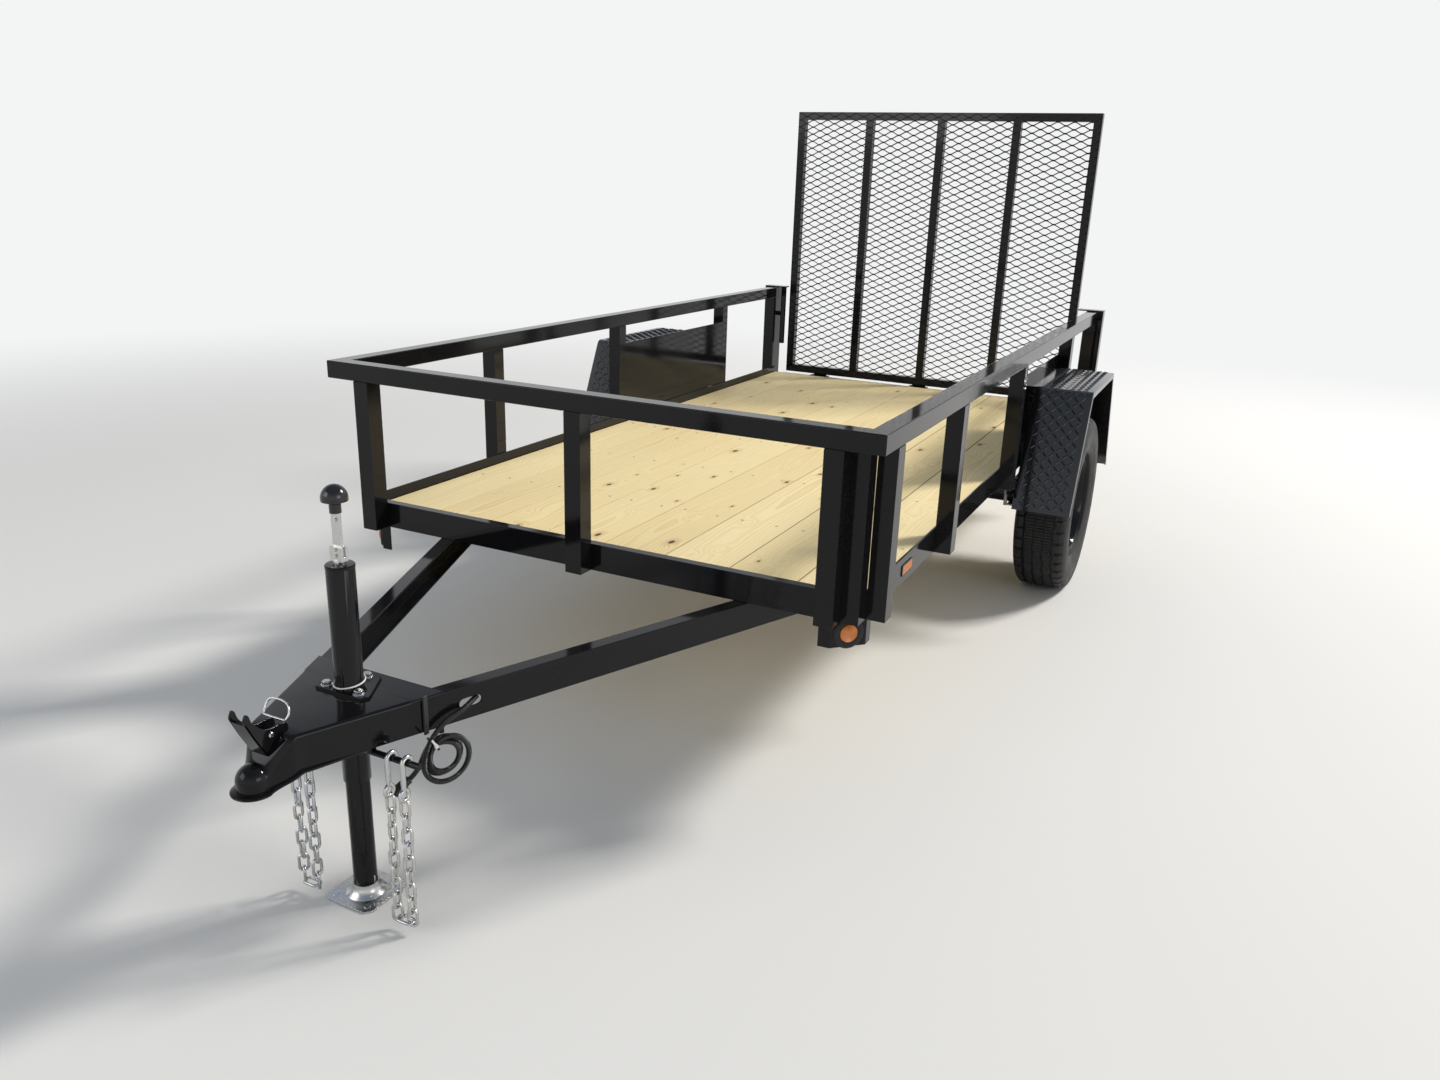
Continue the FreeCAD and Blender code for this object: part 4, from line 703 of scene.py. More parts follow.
# Cable tie round the coil: where its band runs, its half width and thickness, its head and tail
TIE_ANGLE = math.radians(58)
TIE_BAND = ((0.0335, -0.0148), (0.0605, -0.0148), (0.0605, 0.0148), (0.0335, 0.0148))
TIE_WIDE, TIE_THICK = 0.0023, 0.0013
TIE_HEAD, TIE_HEAD_DEEP = 0.004, 0.005
TAIL_WIDE, TAIL_THICK = 0.0022, 0.0006


def add_cable_tie():
    out = WEB_ALONG * math.cos(TIE_ANGLE) + UP * math.sin(TIE_ANGLE)
    along = out.cross(WEB_OUT).normalized()
    wrap = rounded([COIL + out * a + WEB_OUT * b for a, b in TIE_BAND], 0.008, 4)
    middle = sum(wrap, Vector()) / len(wrap)
    bands = []
    for p in wrap:
        grown = p + (p - middle).normalized() * TIE_THICK
        bands.append([p - along * TIE_WIDE, p + along * TIE_WIDE, grown + along * TIE_WIDE,
                      grown - along * TIE_WIDE])
    tie = Shape()
    tie.rings(bands, closed=True)
    tie.made("cable_tie", "plug_black")
    end = Shape()
    root = COIL + out * 0.050 + WEB_OUT * 0.0150
    head = [root + out * a * TIE_HEAD + along * b * TIE_HEAD for a, b in SQUARE]
    end.slab(rounded(head, 0.001), WEB_OUT * TIE_HEAD_DEEP)
    bend = [root + WEB_OUT * (0.004 + 0.011 * t) + out * (0.006 * t + 0.022 * t * t) for t in arc(1.0, 4)]
    end.rings([[p + along * a * TAIL_WIDE + out * b * TAIL_THICK for a, b in SQUARE] for p in bend])
    end.made("cable_tie_tail", "tie_white")


def add_wiring():
    line = evenly(spline_points(loom_route()), LOOM_STEP)
    loom = Shape()
    loom.tube(line, [LOOM / 2 - RIB[k % len(RIB)] for k in range(len(line))], 12)
    loom = loom.made("wiring_loom", "loom_black", smooth=60, replaces=("wiring_lead", "wiring_coil"))
    plug = add_plug(line[-1], (line[-1] - line[-4]).normalized())
    add_cable_tie()


add_wiring()


# Expanded metal on the ramp gate: tilted strands that meet at short bonds
DIAMOND_WIDE, DIAMOND_TALL = 0.0762, 0.0338
MESH_DEEP, STRAND, STRAND_TILT = 0.0032, 0.0028, 0.6
BOND_HALF, BOND_OVER = 0.0055, 0.0011


def add_gate_mesh():
    low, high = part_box("gate_mesh_rising")
    step, rise = DIAMOND_WIDE / 2, DIAMOND_TALL / 2
    front, back = high.y - MESH_DEEP, high.y
    columns = int((high.x - low.x) / step)
    rows = int((high.z - low.z) / rise)
    left = (low.x + high.x - columns * step) / 2
    foot = (low.z + high.z - rows * rise) / 2
    mesh = Shape()
    for row in range(rows):
        stations = []
        for i in range(columns + 1):
            raised = (i + row) % 2
            z = foot + (row + raised) * rise + (-BOND_OVER if raised else BOND_OVER)
            for reach in (-BOND_HALF, BOND_HALF):
                x = min(max(left + i * step + reach, low.x), high.x)
                if not stations or x > stations[-1][0] + 1e-5:
                    stations.append((x, z))
        mesh.rings([[(x, front, z - STRAND * STRAND_TILT), (x, back, z - STRAND),
                     (x, back, z + STRAND * STRAND_TILT), (x, front, z + STRAND)] for x, z in stations])
    mesh.made("expanded_mesh", "mesh_black", "ramp_gate", smooth=20,
              replaces=("gate_mesh_rising", "gate_mesh_falling"))


add_gate_mesh()


# Tyres: one outline for each step round, given as places out from the middle plane and radii
TYRE_STEPS = 720
TYRE_RADIUS, TYRE_DROP = 0.344, 0.0021
TREAD_EDGE, RIB_EDGE = 0.0770, 0.062
SIDEWALL = ((0.0700, 0.1910), (0.0718, 0.1990), (0.0742, 0.2065), (0.0850, 0.2090), (0.0890, 0.2140),
            (0.0925, 0.2240), (0.0960, 0.2380), (0.0972, 0.2410), (0.0980, 0.2430), (0.1000, 0.2560),
            (0.1012, 0.2720), (0.1006, 0.2900), (0.0990, 0.3030), (0.0998, 0.3050), (0.0990, 0.3080),
            (0.0965, 0.3170))
SHOULDER_RIB = ((0.0925, 0.3270), (0.0865, 0.3350), (0.0815, 0.3390))
SHOULDER_GAP = ((0.0920, 0.3265), (0.0850, 0.3310), (0.0795, 0.3335))
GAP_STEPS, GAP_LONG = 16, 4
GAP_DEEP, GAP_INNER_DEEP = 0.0075, 0.0065
ZIG_STEPS, ZIG_WIDE = 24, 0.0026
SIPE_STEPS, SIPE_DEEP = 4, 0.0028

# Grooves: their place and the side that their zigzag starts to, and the corners of their section
GROOVES = ((-0.052, -1), (-0.018, 1), (0.018, -1), (0.052, 1))
GROOVE = ((-0.0042, 0.0), (-0.0030, 0.0075), (0.0030, 0.0075), (0.0042, 0.0))


def tread_radius(x):
    return TYRE_RADIUS - TYRE_DROP * (abs(x) / TREAD_EDGE) ** 2.2


def tyre_ring(k):
    """Outline of the tyre at one step round it: bead, sidewall, notched shoulder, ribs and grooves."""
    zig = ZIG_WIDE * (abs(k % ZIG_STEPS - ZIG_STEPS / 2) / (ZIG_STEPS / 4) - 1)
    gap = k % GAP_STEPS < GAP_LONG
    sipe = 0.0 if k % SIPE_STEPS else SIPE_DEEP
    shoulder = tread_radius(TREAD_EDGE) - (GAP_DEEP if gap else 0.0)
    edge = tread_radius(RIB_EDGE) - (GAP_INNER_DEEP if gap else 0.0)
    right = [*SIDEWALL, *(SHOULDER_GAP if gap else SHOULDER_RIB), (TREAD_EDGE, shoulder),
             (0.066, shoulder + 0.0004), (RIB_EDGE, edge)]
    middle = []
    for place, way in GROOVES:
        for step, deep in GROOVE:
            x = place + way * zig + step
            middle.append((x, tread_radius(x) - max(deep, sipe)))
    return [(-x, r) for x, r in right[::-1]] + middle + right[::-1]


def add_tyre(side):
    node = "tyre_" + side
    hub = centre(node)
    tyre = Shape()
    tyre.rings([[(hub.x + x, hub.y + r * math.cos(a), hub.z + r * math.sin(a)) for x, r in tyre_ring(k)]
                for k, a in enumerate(around(TYRE_STEPS))], closed=True)
    tyre.made("road_tyre_" + side, "tyre_rubber", "wheel_" + side, smooth=28, replaces=(node,))


# Rims and hubs, as places out from the wheel's middle and radii
FLANGE = ((0.074, 0.1880), (0.0742, 0.2040), (0.0725, 0.2063), (0.0705, 0.2040), (0.070, 0.1905))
RIM_DISC = ((0.018, 0.062), (0.019, 0.072), (0.030, 0.086), (0.034, 0.098), (0.026, 0.112), (0.010, 0.128),
            (0.010, 0.138), (0.020, 0.152), (0.027, 0.162), (0.028, 0.168))
DISC_THICK = 0.004
HUB_DOME = ((0.060, 0.0), (0.0595, 0.012), (0.058, 0.022), (0.055, 0.0275), (0.051, 0.0300), (0.022, 0.0305),
            (0.021, 0.034), (0.0185, 0.034))
HUB_DRUM = ((0.014, 0.0412), (0.014, 0.066), (0.004, 0.066), (0.002, 0.060), (0.000, 0.040), (-0.050, 0.038),
            (-0.066, 0.040), (-0.071, 0.038), (-0.071, 0.0172), (0.038, 0.0172), (0.038, 0.0))
LUG_NUT = ((0.0, 0.0), (0.0, 0.0112), (0.002, 0.0118), (0.015, 0.0112), (0.019, 0.0085), (0.021, 0.0))
HAND_HOLES, HAND_HOLE_RING, HAND_HOLE = 8, 0.151, 0.0155
NUTS, NUT_RING, NUT_SEAT = 5, 0.0572, 0.018


def on_axle(outline, way, place, sides):
    """A shape turned round the axle, facing left or right."""
    shape = Shape()
    shape.turn([(way * x, r) for x, r in outline], place, (1, 0, 0), sides)
    return shape


def add_rim(side, way, hub):
    front = smooth_line(RIM_DISC, 4)
    back = [(x - DISC_THICK, r) for x, r in front[::-1]]
    outline = [*((-x, r) for x, r in FLANGE[::-1]), (-0.034, 0.1685), *back, (0.014, 0.0420), (0.018, 0.0420),
               *front, (0.0335, 0.1685), *FLANGE, (0.0340, 0.1725), (-0.0340, 0.1725)]
    rim = on_axle(outline, way, hub, 96).made("rim_smooth_" + side, "rim_black", "wheel_" + side, smooth=30,
                                              replaces=("rim_" + side,))
    cutter = Shape()
    for k in range(HAND_HOLES):
        a = math.radians(360 / HAND_HOLES * k)
        middle = hub + Vector((0, math.sin(a), -math.cos(a))) * HAND_HOLE_RING
        cutter.tube([middle - Vector((0.02 * way, 0, 0)), middle + Vector((0.08 * way, 0, 0))], HAND_HOLE, 24)
    cut_out(rim, cutter)


def add_lug_nuts(side, way, hub):
    nuts = Shape()
    for k in range(NUTS):
        a = math.radians(360 / NUTS * k)
        seat = hub + Vector((NUT_SEAT * way, NUT_RING * math.sin(a), -NUT_RING * math.cos(a)))
        nuts.turn(LUG_NUT, seat, (way, 0, 0), 6)
    nuts.made("lug_nuts_" + side, "zinc", "wheel_" + side, smooth=25)


def add_hub(side, way, hub):
    shape = on_axle(HUB_DOME + HUB_DRUM, way, hub, 64)
    shape.made("hub_smooth_" + side, "hub_black", "wheel_" + side, smooth=30, replaces=("hub_" + side,))


for wheel_side, wheel_way in (("left", -1), ("right", 1)):
    wheel_hub = centre("tyre_" + wheel_side)
    add_tyre(wheel_side)
    add_rim(wheel_side, wheel_way, wheel_hub)
    add_lug_nuts(wheel_side, wheel_way, wheel_hub)
    add_hub(wheel_side, wheel_way, wheel_hub)


# Safety chains of bent round wire
WIRE = 0.0035
PITCH = 0.0325
LINK_HALF = 0.0095
LINKS = 9
CHAIN_TWIST, CHAIN_SWAY = 14, 0.0008
CHAIN_SEEDS = {"left": 11, "right": 5}


def link_path(middle, along, across):
    straight = PITCH / 2 + WIRE - LINK_HALF
    return [middle + along * end * (straight + LINK_HALF * math.sin(a))
            + across * end * LINK_HALF * math.cos(a) for end in (1, -1) for a in arc(math.pi, 8)]


def add_chain(side, lean):
    """Two strands of links side by side, joined by a level link at the foot."""
    node = "safety_chain_" + side
    middle = centre(node)
    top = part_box(node)[1].z - 2 * WIRE
    right, back = Vector((1, 0, 0)), Vector((0, 1, 0))
    random.seed(CHAIN_SEEDS[side])
    chain = Shape()
    for sign in (-1, 1):
        for i in range(LINKS):
            place = Vector((middle.x + sign * (PITCH / 2 + WIRE), middle.y, top - PITCH * (i + 0.5)))
            turn = math.radians(90 * (i % 2) + random.uniform(-CHAIN_TWIST, CHAIN_TWIST) + lean * i)
            across = right * math.cos(turn) + back * math.sin(turn)
            sway = Vector((random.uniform(-CHAIN_SWAY, CHAIN_SWAY),
                           random.uniform(-CHAIN_SWAY, CHAIN_SWAY), 0))
            chain.tube(link_path(place + sway, UP, across), WIRE, closed=True)
    foot = Vector((middle.x, middle.y, top - PITCH * LINKS + WIRE))
    chain.tube(link_path(foot, right, back), WIRE, closed=True)
    chain.made("round_chain_" + side, "zinc", smooth=60, replaces=(node,))


# Hooks over the chain bar, each with the eye that carries its chain
BAR_ROD = 0.007
HOOK_BEND = BAR_ROD + 0.0056
HOOK_RADII = [0.0022, 0.0040] + [0.0054] * 9 + [0.0056, 0.0056, 0.0050]
EYE_DROP, EYE, EYE_WIRE = 0.0675, 0.0118, 0.0044


def add_hooks():
    y = centre("chain_bar").y
    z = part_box("chain_bar")[0].z + BAR_ROD
    hooks = Shape()
    for side in ("right", "left"):
        for sign in (-1, 1):
            x = centre("safety_chain_" + side).x + sign * (PITCH / 2 + WIRE)
            path = [(x, y + HOOK_BEND + 0.003, z - 0.016), (x, y + HOOK_BEND, z - 0.008)]
            path += [(x, y + HOOK_BEND * math.cos(a), z + HOOK_BEND * math.sin(a)) for a in arc(math.pi, 8)]
            path += [(x, y - HOOK_BEND, z - drop) for drop in (0.015, 0.040, 0.056)]
            hooks.tube(path, HOOK_RADII, 12)
            eye = Vector((x, y - HOOK_BEND + 0.0005, z - EYE_DROP))
            hooks.tube([eye + Vector((0, EYE * math.cos(a), EYE * math.sin(a))) for a in around(20)],
                       EYE_WIRE, closed=True)
    hooks.made("forged_hooks", "zinc", smooth=60, replaces=("chain_hooks",))


add_chain("right", 3)
add_chain("left", -4)
add_hooks()


# Jack: smooth knob, dished foot, bolts, rivets, cap and the wire ring over the plate
FOOT_SIDE, FOOT_CUT, FOOT_LOW, FOOT_THICK = 0.0648, 0.0135, 0.0002, 0.0046
FOOT_CONE = ((0.0048, 0.0256), (0.0048, 0.0440), (0.0068, 0.0425), (0.0130, 0.0345), (0.0220, 0.0300),
             (0.0310, 0.0288), (0.0310, 0.0256))
FOOT_RIVET, RIVET_PLACE = ((0.0, 0.0), (0.0, 0.0075), (0.0012, 0.0066), (0.0014, 0.0)), 0.045
WASHER = ((0.0, 0.0), (0.0, 0.0122), (0.0016, 0.0122), (0.0016, 0.0))
BOLT_HEAD = ((0.0016, 0.0), (0.0016, 0.0098), (0.0082, 0.0098), (0.0098, 0.0080), (0.0098, 0.0))
BOLT_PLACES = ((-0.044, -0.020), (0.044, -0.020), (0.0, 0.050))
JACK_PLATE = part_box("coupler")[1].z + 0.006
KNOB_OUT, KNOB_NECK, KNOB_DOME = 0.0268, 0.0118, 0.030
RING_OUT, RING_WIRE = 0.0318, 0.0019
CAP = ((-0.004, 0.0288), (-0.004, 0.0299), (0.0006, 0.0299), (0.0024, 0.0280), (0.0030, 0.012),
       (0.0006, 0.0118))


def add_knob():
    low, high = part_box("jack_knob")
    neck, dome = low.z, high.z - low.z - KNOB_DOME
    outline = [(neck, 0.0), (neck, KNOB_NECK), (neck + 0.018, KNOB_NECK), (neck + 0.021, 0.0150),
               (neck + 0.023, 0.0225)]
    for i in range(9):
        a = math.radians(-12 + 12.75 * i)
        outline.append((neck + KNOB_DOME + dome * max(math.sin(a), -0.2), KNOB_OUT * math.cos(a)))
    knob = Shape()
    knob.turn(outline + [(high.z, 0.0)], JACK, UP)
    knob.made("smooth_knob", "black_knob", replaces=("jack_knob",))


def add_foot():
    """A plate with its corners cut off, a dished cone round the leg and a rivet in each corner."""
    long, short = FOOT_SIDE, FOOT_SIDE - FOOT_CUT
    corners = ((-short, -long), (short, -long), (long, -short), (long, short), (short, long), (-short, long),
               (-long, short), (-long, -short))
    foot = Shape()
    foot.slab([JACK + Vector((x, y, FOOT_LOW)) for x, y in corners], (0, 0, FOOT_THICK))
    foot.turn(FOOT_CONE, JACK, UP)
    for a, b in SQUARE:
        foot.turn(FOOT_RIVET, JACK + Vector((a * RIVET_PLACE, b * RIVET_PLACE, FOOT_THICK)), UP, 20)
    foot.made("dished_foot", "zinc", "jack_leg", smooth=30, bevel=0.0005, replaces=("jack_foot",))


def add_jack_bolts():
    bolts = Shape()
    for x, y in BOLT_PLACES:
        seat = JACK + Vector((x, y, JACK_PLATE))
        bolts.turn(WASHER, seat, UP, 24)
        bolts.turn(BOLT_HEAD, seat, UP, 6)
    bolts.made("jack_bolts", "zinc", smooth=25, bevel=0.0004)


def add_wire_ring():
    ring = Shape()
    ring.tube([JACK + Vector((RING_OUT * math.cos(a), RING_OUT * math.sin(a),
                              JACK_PLATE + 0.010 + 0.004 * math.sin(a + 0.6))) for a in around(40)],
              RING_WIRE, 8, closed=True)
    ring.made("wire_ring", "tie_white", smooth=60)


def add_crank_rivets():
    low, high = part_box("jack_crank")
    rivets = Shape()
    for z, half, radius in ((low.z + 0.022, 0.0125, 0.0042), (low.z + 0.034, 0.0125, 0.0042),
                            (high.z - 0.014, 0.006, 0.0045)):
        rivets.tube([JACK + Vector((0, -half, z)), JACK + Vector((0, half, z))], radius, 12)
    rivets.made("crank_rivets", "zinc", smooth=40)


def add_jack_cap():
    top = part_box("jack_tube")[1].z
    cap = Shape()
    cap.turn([(top + rise, reach) for rise, reach in CAP], JACK, UP)
    cap.made("jack_cap", "gloss_black")


add_knob()
add_foot()
add_jack_bolts()
add_wire_ring()
add_crank_rivets()
add_jack_cap()


# Fenders: one bent sheet each, with round knees, a turned-down lip and raised tread bars over the outside
KNEE_HALF, FOOT_HALF = 0.273, 0.465
FENDER_SHEET, FENDER_LIP = 0.0032, 0.022
KNEE_BEND, KNEE_STEPS = 0.028, 8
BAR_PITCH, BAR_RISE, BAR_SINK = 0.0240, 0.0022, 0.0002
BAR_FOOT = ((-0.0138, 0.0), (-0.006, -0.0036), (0.006, -0.0036), (0.0138, 0.0), (0.006, 0.0036),
            (-0.006, 0.0036))
BAR_CREST = ((-0.0090, 0.0), (0.0090, 0.0))
BAR_FACES = ((0, 1, 6), (1, 2, 7, 6), (2, 3, 7), (3, 4, 7), (4, 5, 6, 7), (5, 0, 6), (5, 4, 3, 2, 1, 0))


def fender_line(low, high, inset):
    """The sheet seen from the side at a depth below its outer face, from its front foot to its rear foot."""
    lean = math.atan2(high - low, FOOT_HALF - KNEE_HALF)
    middle = KNEE_BEND * math.tan(lean / 2) - KNEE_HALF
    bend = KNEE_BEND - inset
    front = [(inset / math.sin(lean) - FOOT_HALF, low)]
    for i in range(KNEE_STEPS + 1):
        a = math.pi / 2 + lean * (1 - i / KNEE_STEPS)
        front.append((middle + bend * math.cos(a), high - KNEE_BEND + bend * math.sin(a)))
    return front + [(-y, z) for y, z in front[::-1]]


def add_fender(side, way):
    low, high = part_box("fender_" + side)
    inner, outer = sorted((abs(low.x), abs(high.x)))
    axle = centre("tyre_" + side).y
    profile = ((inner, 0.0), (outer - 0.0030, 0.0), (outer - 0.0009, 0.0009), (outer, 0.0030),
               (outer, FENDER_LIP), (outer - FENDER_SHEET, FENDER_LIP), (outer - FENDER_SHEET, FENDER_SHEET),
               (inner, FENDER_SHEET))
    lines = [fender_line(low.z, high.z, inset) for x, inset in profile]
    fender = Shape()
    fender.rings([[(way * x, axle + y, z) for (x, inset), (y, z) in zip(profile, station)]
                  for station in zip(*lines)])
    fender.made("bent_fender_" + side, "tread_plate_black", smooth=32, replaces=("fender_" + side,))
    add_tread(side, way, axle, inner + 0.004, outer - 0.004, fender_line(low.z, high.z, 0.0))


def add_tread(side, way, axle, inner, outer, path):
    """Raised bars on the sheet, each at right angles to those beside it."""
    runs = [0.0]
    for (y0, z0), (y1, z1) in zip(path, path[1:]):
        runs.append(runs[-1] + math.hypot(y1 - y0, z1 - z0))

    def on_sheet(x, along, above):
        k = max(i for i in range(len(path) - 1) if runs[i] <= along)
        (y0, z0), (y1, z1) = path[k], path[k + 1]
        share = (along - runs[k]) / (runs[k + 1] - runs[k])
        ahead = Vector((0, y1 - y0, z1 - z0)).normalized()
        place = Vector((way * x, axle + mixed(y0, y1, share), mixed(z0, z1, share)))
        return place + Vector((0, -ahead.z, ahead.y)) * above

    rows = int((runs[-1] - 0.012) / BAR_PITCH)
    columns = int((outer - inner - 0.008) / BAR_PITCH)
    tread = Shape()
    for r in range(rows):
        for c in range(columns):
            along = runs[-1] / 2 + (r - (rows - 1) / 2) * BAR_PITCH
            x = (inner + outer) / 2 + (c - (columns - 1) / 2) * BAR_PITCH
            turn = math.radians(45 if (r + c) % 2 else -45)
            points = []
            for outline, above in ((BAR_FOOT, -BAR_SINK), (BAR_CREST, BAR_RISE)):
                points += [on_sheet(x + u * math.cos(turn) - v * math.sin(turn),
                                    along + u * math.sin(turn) + v * math.cos(turn), above)
                           for u, v in outline]
            tread.add(points, BAR_FACES)
    tread.made("tread_bars_" + side, "tread_plate_black", smooth=20)


add_fender("right", 1)
add_fender("left", -1)


# Lamps: grommets and ribbed lenses in the corner brackets
LENS, LENS_BACK, SOCKET = 0.0240, -0.013, 0.0330
BRACKET_FACE = 0.100 / math.sqrt(2)
GROMMET = ((LENS_BACK, LENS), (0.0030, LENS), (0.0052, LENS + 0.002), (0.0056, 0.0330), (0.0044, 0.0385),
           (0.0020, 0.0415), (0.0, 0.0420), (0.0, SOCKET), (LENS_BACK, SOCKET))
LENS_RIBS, RIB_PITCH, RIB_WIDE, RIB_DEEP = 6, 0.0038, 0.0019, 0.0007


def add_marker_lamp(side, way):
    low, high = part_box("marker_brackets")
    middle = Vector((way * (INNER - BRACKET_FACE / 2), RAIL_FRONT + TUBE + BRACKET_FACE / 2,
                     (low.z + high.z) / 2))
    aim = Vector((way, -1, 0)).normalized()
    grommet = Shape()
    grommet.turn(GROMMET, middle, aim, 56)
    grommet.made("grommet_" + side, "grommet_rubber", smooth=40)
    outline = [(LENS_BACK, 0.0), (LENS_BACK, LENS), (0.0048, LENS), (0.0060, LENS - 0.0008)]
    for k in range(LENS_RIBS):
        reach = LENS - 0.0018 - RIB_PITCH * k
        rise = 0.0064 + 0.0030 * (1 - (reach / LENS) ** 2)
        outline += [(rise, reach), (rise - RIB_DEEP, reach - RIB_WIDE)]
    glass = Shape()
    glass.turn(outline + [(0.0096, 0.0)], middle + aim * 0.0002, aim, 56)
    glass.made("marker_lens_" + side, "amber_lens", smooth=50, replaces=("marker_lamps",))


# Side reflectors: a dark back with a field of small pyramids
REFLECTOR_FRONT, REFLECTOR_LONG = 0.392, 0.090
REFLECTOR_RISE, REFLECTOR_HIGH, REFLECTOR_THICK = 0.022, 0.032, 0.004
CELLS_LONG, CELLS_HIGH, CELL_SHARE, CELL_DEEP = 14, 5, 0.48, 0.0013
CELL_FACES = ((0, 1, 4), (1, 2, 4), (2, 3, 4), (3, 0, 4), (3, 2, 1, 0))


def add_reflector(side, way):
    plate = Vector((way * INNER, RAIL_FRONT + REFLECTOR_FRONT + REFLECTOR_LONG / 2,
                    FRAME_LOW + REFLECTOR_RISE + REFLECTOR_HIGH / 2))
    edge = [plate + Vector((0, a * REFLECTOR_LONG / 2, b * REFLECTOR_HIGH / 2)) for a, b in SQUARE]
    back = Shape()
    back.slab(rounded(edge, 0.005), (way * (REFLECTOR_THICK - 0.0012), 0, 0))
    back.made("reflector_back_" + side, "plug_black", bevel=0.0005)
    wide, tall = (REFLECTOR_LONG - 0.008) / CELLS_LONG, (REFLECTOR_HIGH - 0.007) / CELLS_HIGH
    cells = Shape()
    for i in range(CELLS_LONG):
        for j in range(CELLS_HIGH):
            spot = plate + Vector((way * (REFLECTOR_THICK - CELL_DEEP), (i - (CELLS_LONG - 1) / 2) * wide,
                                   (j - (CELLS_HIGH - 1) / 2) * tall))
            base = [spot + Vector((0, a * CELL_SHARE * wide, b * CELL_SHARE * tall)) for a, b in SQUARE]
            cells.add(base + [spot + Vector((way * CELL_DEEP, 0, 0))], CELL_FACES)
    cells.made("reflector_" + side, "amber_lens", smooth=5, replaces=("marker_lamps",))


for lamp_side, lamp_way in (("left", -1), ("right", 1)):
    add_marker_lamp(lamp_side, lamp_way)
    add_reflector(lamp_side, lamp_way)


# Deck screws, two a board, over each cross member and at both ends
CROSSMEMBERS, CROSS_FRONT, CROSS_REAR, CROSS_MIDDLE = 5, 0.546, 0.629, 0.020
SCREW_MARGIN, SCREW_SINK, SCREW_SHARES = 0.022, 0.0006, (0.22, 0.78)
SCREW = ((0.0, 0.0), (0.0, 0.0052), (0.0009, 0.0048), (0.0009, 0.0020), (0.0004, 0.0016), (0.0004, 0.0))


def add_screws():
    low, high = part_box("deck_boards")
    first, last = RAIL_FRONT + CROSS_FRONT, REAR - CROSS_REAR
    lines = [first + (last - first) * i / (CROSSMEMBERS - 1) + CROSS_MIDDLE for i in range(CROSSMEMBERS)]
    pitch = (high.x - low.x) / BOARDS
    screws = Shape()
    random.seed(3)
    for i in range(BOARDS):
        for y in [low.y + SCREW_MARGIN] + lines + [high.y - SCREW_MARGIN]:
            for share in SCREW_SHARES:
                x = low.x + pitch * (i + share) + random.uniform(-0.004, 0.004)
                seat = Vector((x, y + random.uniform(-0.006, 0.006), high.z - SCREW_SINK))
                screws.turn(SCREW, seat, UP, 12)
    screws.made("deck_screws", "zinc_dull", smooth=30)


add_screws()


# Coupler: one stamped sheet from the plate over the channels to the ball socket, with its flared lip
BALL_HIGH = FRAME_LOW - 0.078
BALL = Vector((0, BALL_Y, 0))
COUPLER_FRONT = BALL_Y + 0.058
COUPLER_BACK = COUPLER_FRONT + 0.283
SKIRT_BACK, SKIRT_SLANT, SKIRT_DEEP = COUPLER_FRONT + 0.218, 0.045, 0.072
SKIRT_LOW = FRAME_LOW - SKIRT_DEEP
SHEET = 0.004
BORE, SOCKET_OUT, LIP_OUT, LIP_THICK = 0.0259, 0.0329, 0.0440, 0.005
DOME = 0.8 * SOCKET_OUT
LIP_LOW = BALL_HIGH - 0.024
LIP_BACK = COUPLER_FRONT + 0.125
LIP_FLARE, LIP_END, LIP_EDGE, LIP_STEPS = 0.008, 0.001, 0.0014, 24
SHOULDER = 0.008
JACK_HOLE = 0.0295


def coupler_station(y):
    """Half width, foot, top and shoulder radius of the stamping at one place along it."""
    top = FRAME_LOW + SHEET
    if y >= COUPLER_FRONT:
        low = SKIRT_LOW + SKIRT_DEEP * min(max((y - SKIRT_BACK + SKIRT_SLANT) / SKIRT_SLANT, 0.0), 1.0)
        return web_x(y) + SHEET * LEAN, low, top, min(SHOULDER, top - low)
    share = (COUPLER_FRONT - y) / (COUPLER_FRONT - BALL_Y)
    wide = mixed(web_x(COUPLER_FRONT) + SHEET * LEAN, SOCKET_OUT, ease(share))
    return (wide, mixed(SKIRT_LOW, LIP_LOW, share), mixed(top, BALL_HIGH + DOME, ease(share)),
            mixed(SHOULDER, DOME, share ** 0.6))


def arch(y, inset):
    """Half section of the sheet from its foot over the shoulder to the middle line."""
    wide, low, top, bend = coupler_station(y)
    bend = max(bend - inset, 0.0004)
    wide, top = wide - inset, top - inset
    return [(wide, low)] + [(wide - bend + bend * math.cos(a), max(top - bend + bend * math.sin(a), low))
                            for a in arc(math.pi / 2, 8)]


def add_shell():
    stops = ((BALL_Y, COUPLER_FRONT, 20), (COUPLER_FRONT, SKIRT_BACK - SKIRT_SLANT, 8),
             (SKIRT_BACK - SKIRT_SLANT, SKIRT_BACK, 8), (SKIRT_BACK, COUPLER_BACK, 4))
    rings = []
    for y in [mixed(a, b, k / count) for a, b, count in stops for k in range(count)] + [COUPLER_BACK]:
        outer, inner = arch(y, 0.0), arch(y, SHEET * LEAN)
        ring = outer + [(-x, z) for x, z in outer[::-1] + inner] + inner[::-1]
        rings.append([(x, y, z) for x, z in ring])
    shell = Shape()
    shell.rings(rings)
    shell = shell.made("coupler_shell", "gloss_black", smooth=38, replaces=("coupler",))
    hole = Shape()
    hole.tube([(0, JACK_Y, FRAME_LOW - 3 * SHEET), (0, JACK_Y, FRAME_LOW + 3 * SHEET)], JACK_HOLE, 64)
    cut_out(shell, hole)


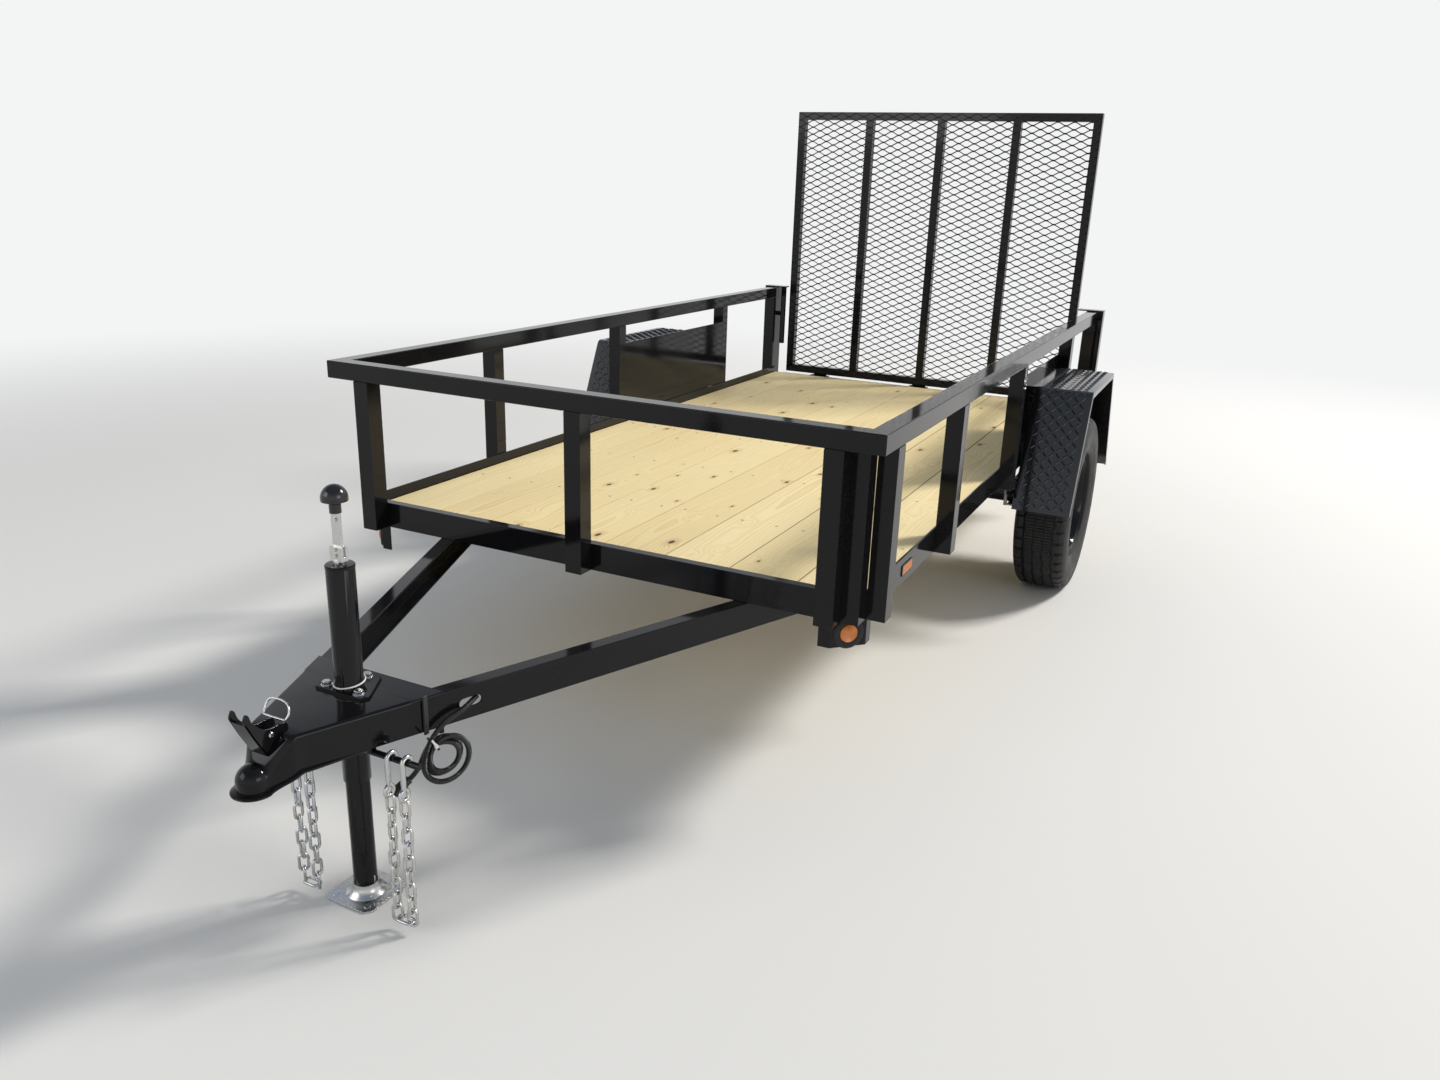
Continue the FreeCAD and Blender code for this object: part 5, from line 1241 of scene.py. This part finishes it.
def add_socket():
    outline = [(LIP_LOW, BORE), (LIP_LOW, SOCKET_OUT)]
    for reach, bends in ((SOCKET_OUT, arc(math.pi / 2, 16)), (BORE, arc(math.pi / 2, 12)[::-1])):
        outline += [(BALL_HIGH + reach * math.sin(a), reach * math.cos(a)) for a in bends]
    socket = Shape()
    socket.turn(outline, BALL, UP, 64)
    socket.made("ball_socket", "gloss_black", smooth=38, replaces=("coupler",))


def add_lip():
    """The flare round the stamping's edge, from its right side round the nose to its left side."""
    right = []
    for k in range(LIP_STEPS + 1):
        y = mixed(LIP_BACK, BALL_Y, k / LIP_STEPS)
        wide = coupler_station(y)[0]
        share = max((COUPLER_FRONT - y) / (COUPLER_FRONT - BALL_Y), 0.0)
        behind = max((y - COUPLER_FRONT) / (LIP_BACK - COUPLER_FRONT), 0.0)
        flare = mixed(mixed(LIP_FLARE, LIP_OUT - SOCKET_OUT, share), LIP_END, ease(behind))
        right.append((Vector((wide - SHEET, y, 0)), Vector((wide + flare, y, 0)),
                      mixed(SKIRT_LOW - LIP_THICK, LIP_LOW, share)))
    nose = []
    for a in arc(math.pi, LIP_STEPS)[1:-1]:
        out = Vector((math.cos(a), -math.sin(a), 0))
        nose.append((BALL + out * (SOCKET_OUT - SHEET), BALL + out * LIP_OUT, LIP_LOW))
    left = [(Vector((-a.x, a.y, 0)), Vector((-b.x, b.y, 0)), z) for a, b, z in right[::-1]]
    rings = []
    for inner, outer, low in right + nose + left:
        high = low + LIP_THICK
        back = outer + (inner - outer).normalized() * LIP_EDGE
        rings.append([inner + UP * low, back + UP * low, outer + UP * (low + LIP_EDGE),
                      outer + UP * (high - LIP_EDGE), back + UP * high, inner + UP * high])
    lip = Shape()
    lip.rings(rings)
    lip.made("coupler_lip", "gloss_black", smooth=50, replaces=("coupler",))


add_shell()
add_socket()
add_lip()


# Lever: a folded channel with two scooped cheeks; its points are measured back from the ball and up
LEVER_HALF, LEVER_WALL = 0.020, 0.004
CHEEK = ((0.0193, 0.0449), (-0.0060, 0.0930), (-0.0247, 0.1333), (-0.0175, 0.1489), (-0.0105, 0.1440),
         (-0.0065, 0.1290), (-0.0010, 0.1200), (0.0070, 0.1120), (0.0180, 0.1010), (0.0300, 0.0965),
         (0.0700, 0.0950), (0.0760, 0.0870), (0.0760, 0.0820), (0.0580, 0.0820), (0.0420, 0.0660))
FRONT_EDGE = ((0.0193, 0.0449), (0.0065, 0.0690), (-0.0060, 0.0930), (-0.0155, 0.1135), (-0.0215, 0.1265))
LEVER_PIN = ((-0.0235, 0.0), (-0.0235, 0.0040), (-0.0215, 0.0058), (-0.0200, 0.0058), (-0.0200, 0.0045),
             (0.0200, 0.0045), (0.0200, 0.0058), (0.0215, 0.0058), (0.0235, 0.0040), (0.0235, 0.0))


def add_lever():
    lever = Shape()
    for side in (-1, 1):
        cheek = rounded([(side * LEVER_HALF, BALL_Y + a, BALL_HIGH + b) for a, b in CHEEK], 0.006)
        lever.slab(cheek, (-side * LEVER_WALL, 0, 0))
    rings = []
    for a, b in FRONT_EDGE:
        y, z = BALL_Y + a, BALL_HIGH + b
        rings.append([(-LEVER_HALF, y, z), (LEVER_HALF, y, z), (LEVER_HALF, y + LEVER_WALL, z + 0.002),
                      (-LEVER_HALF, y + LEVER_WALL, z + 0.002)])
    lever.rings(rings)
    lever.made("folded_lever", "gloss_black", smooth=30, bevel=0.0008, replaces=("coupler_latch",))
    pin = Shape()
    pin.turn(LEVER_PIN, (0, BALL_Y + 0.034, BALL_HIGH + 0.084), (1, 0, 0), 28)
    pin.made("lever_rivet", "zinc")


add_lever()


# Coupler trim: the clip in the latch's pin, and the wiring strap on the outer face of the right channel's web
CLIP_Y, CLIP_Z, CLIP_WIRE = RAIL_FRONT - 1.011, FRAME_LOW + SHEET + 0.019, 0.0021
CLIP = ((0.024, 0.0, 0.0), (-0.028, 0.0, 0.0), (-0.034, 0.004, 0.004), (-0.036, 0.012, 0.016),
        (-0.030, 0.018, 0.026), (-0.004, 0.020, 0.028), (0.018, 0.016, 0.024), (0.028, 0.008, 0.012),
        (0.026, 0.001, 0.002))
STRAP_Y = RAIL_FRONT - 0.7745


def add_pin_clip():
    clip = Shape()
    clip.tube(smooth_line([(x, CLIP_Y + y, CLIP_Z + z) for x, y, z in CLIP], 5), CLIP_WIRE, 8)
    clip.made("pin_clip", "zinc", smooth=60)


def add_wiring_strap():
    inner, outer = web_x(STRAP_Y) + 0.0006, web_x(STRAP_Y) + 0.0054
    front, back = STRAP_Y - 0.008, STRAP_Y + 0.004
    low, high = TONGUE_LOW - 0.003, FRAME_LOW + SHEET + 0.0028
    strap = Shape()
    strap.slab([(inner, front, low), (outer, front, low), (outer, back, low), (inner, back, low)],
               UP * (high - low))
    strap.made("wiring_strap", "plug_black", bevel=0.0006)


add_pin_clip()
add_wiring_strap()


bpy.context.scene.view_settings.view_transform = "Standard"
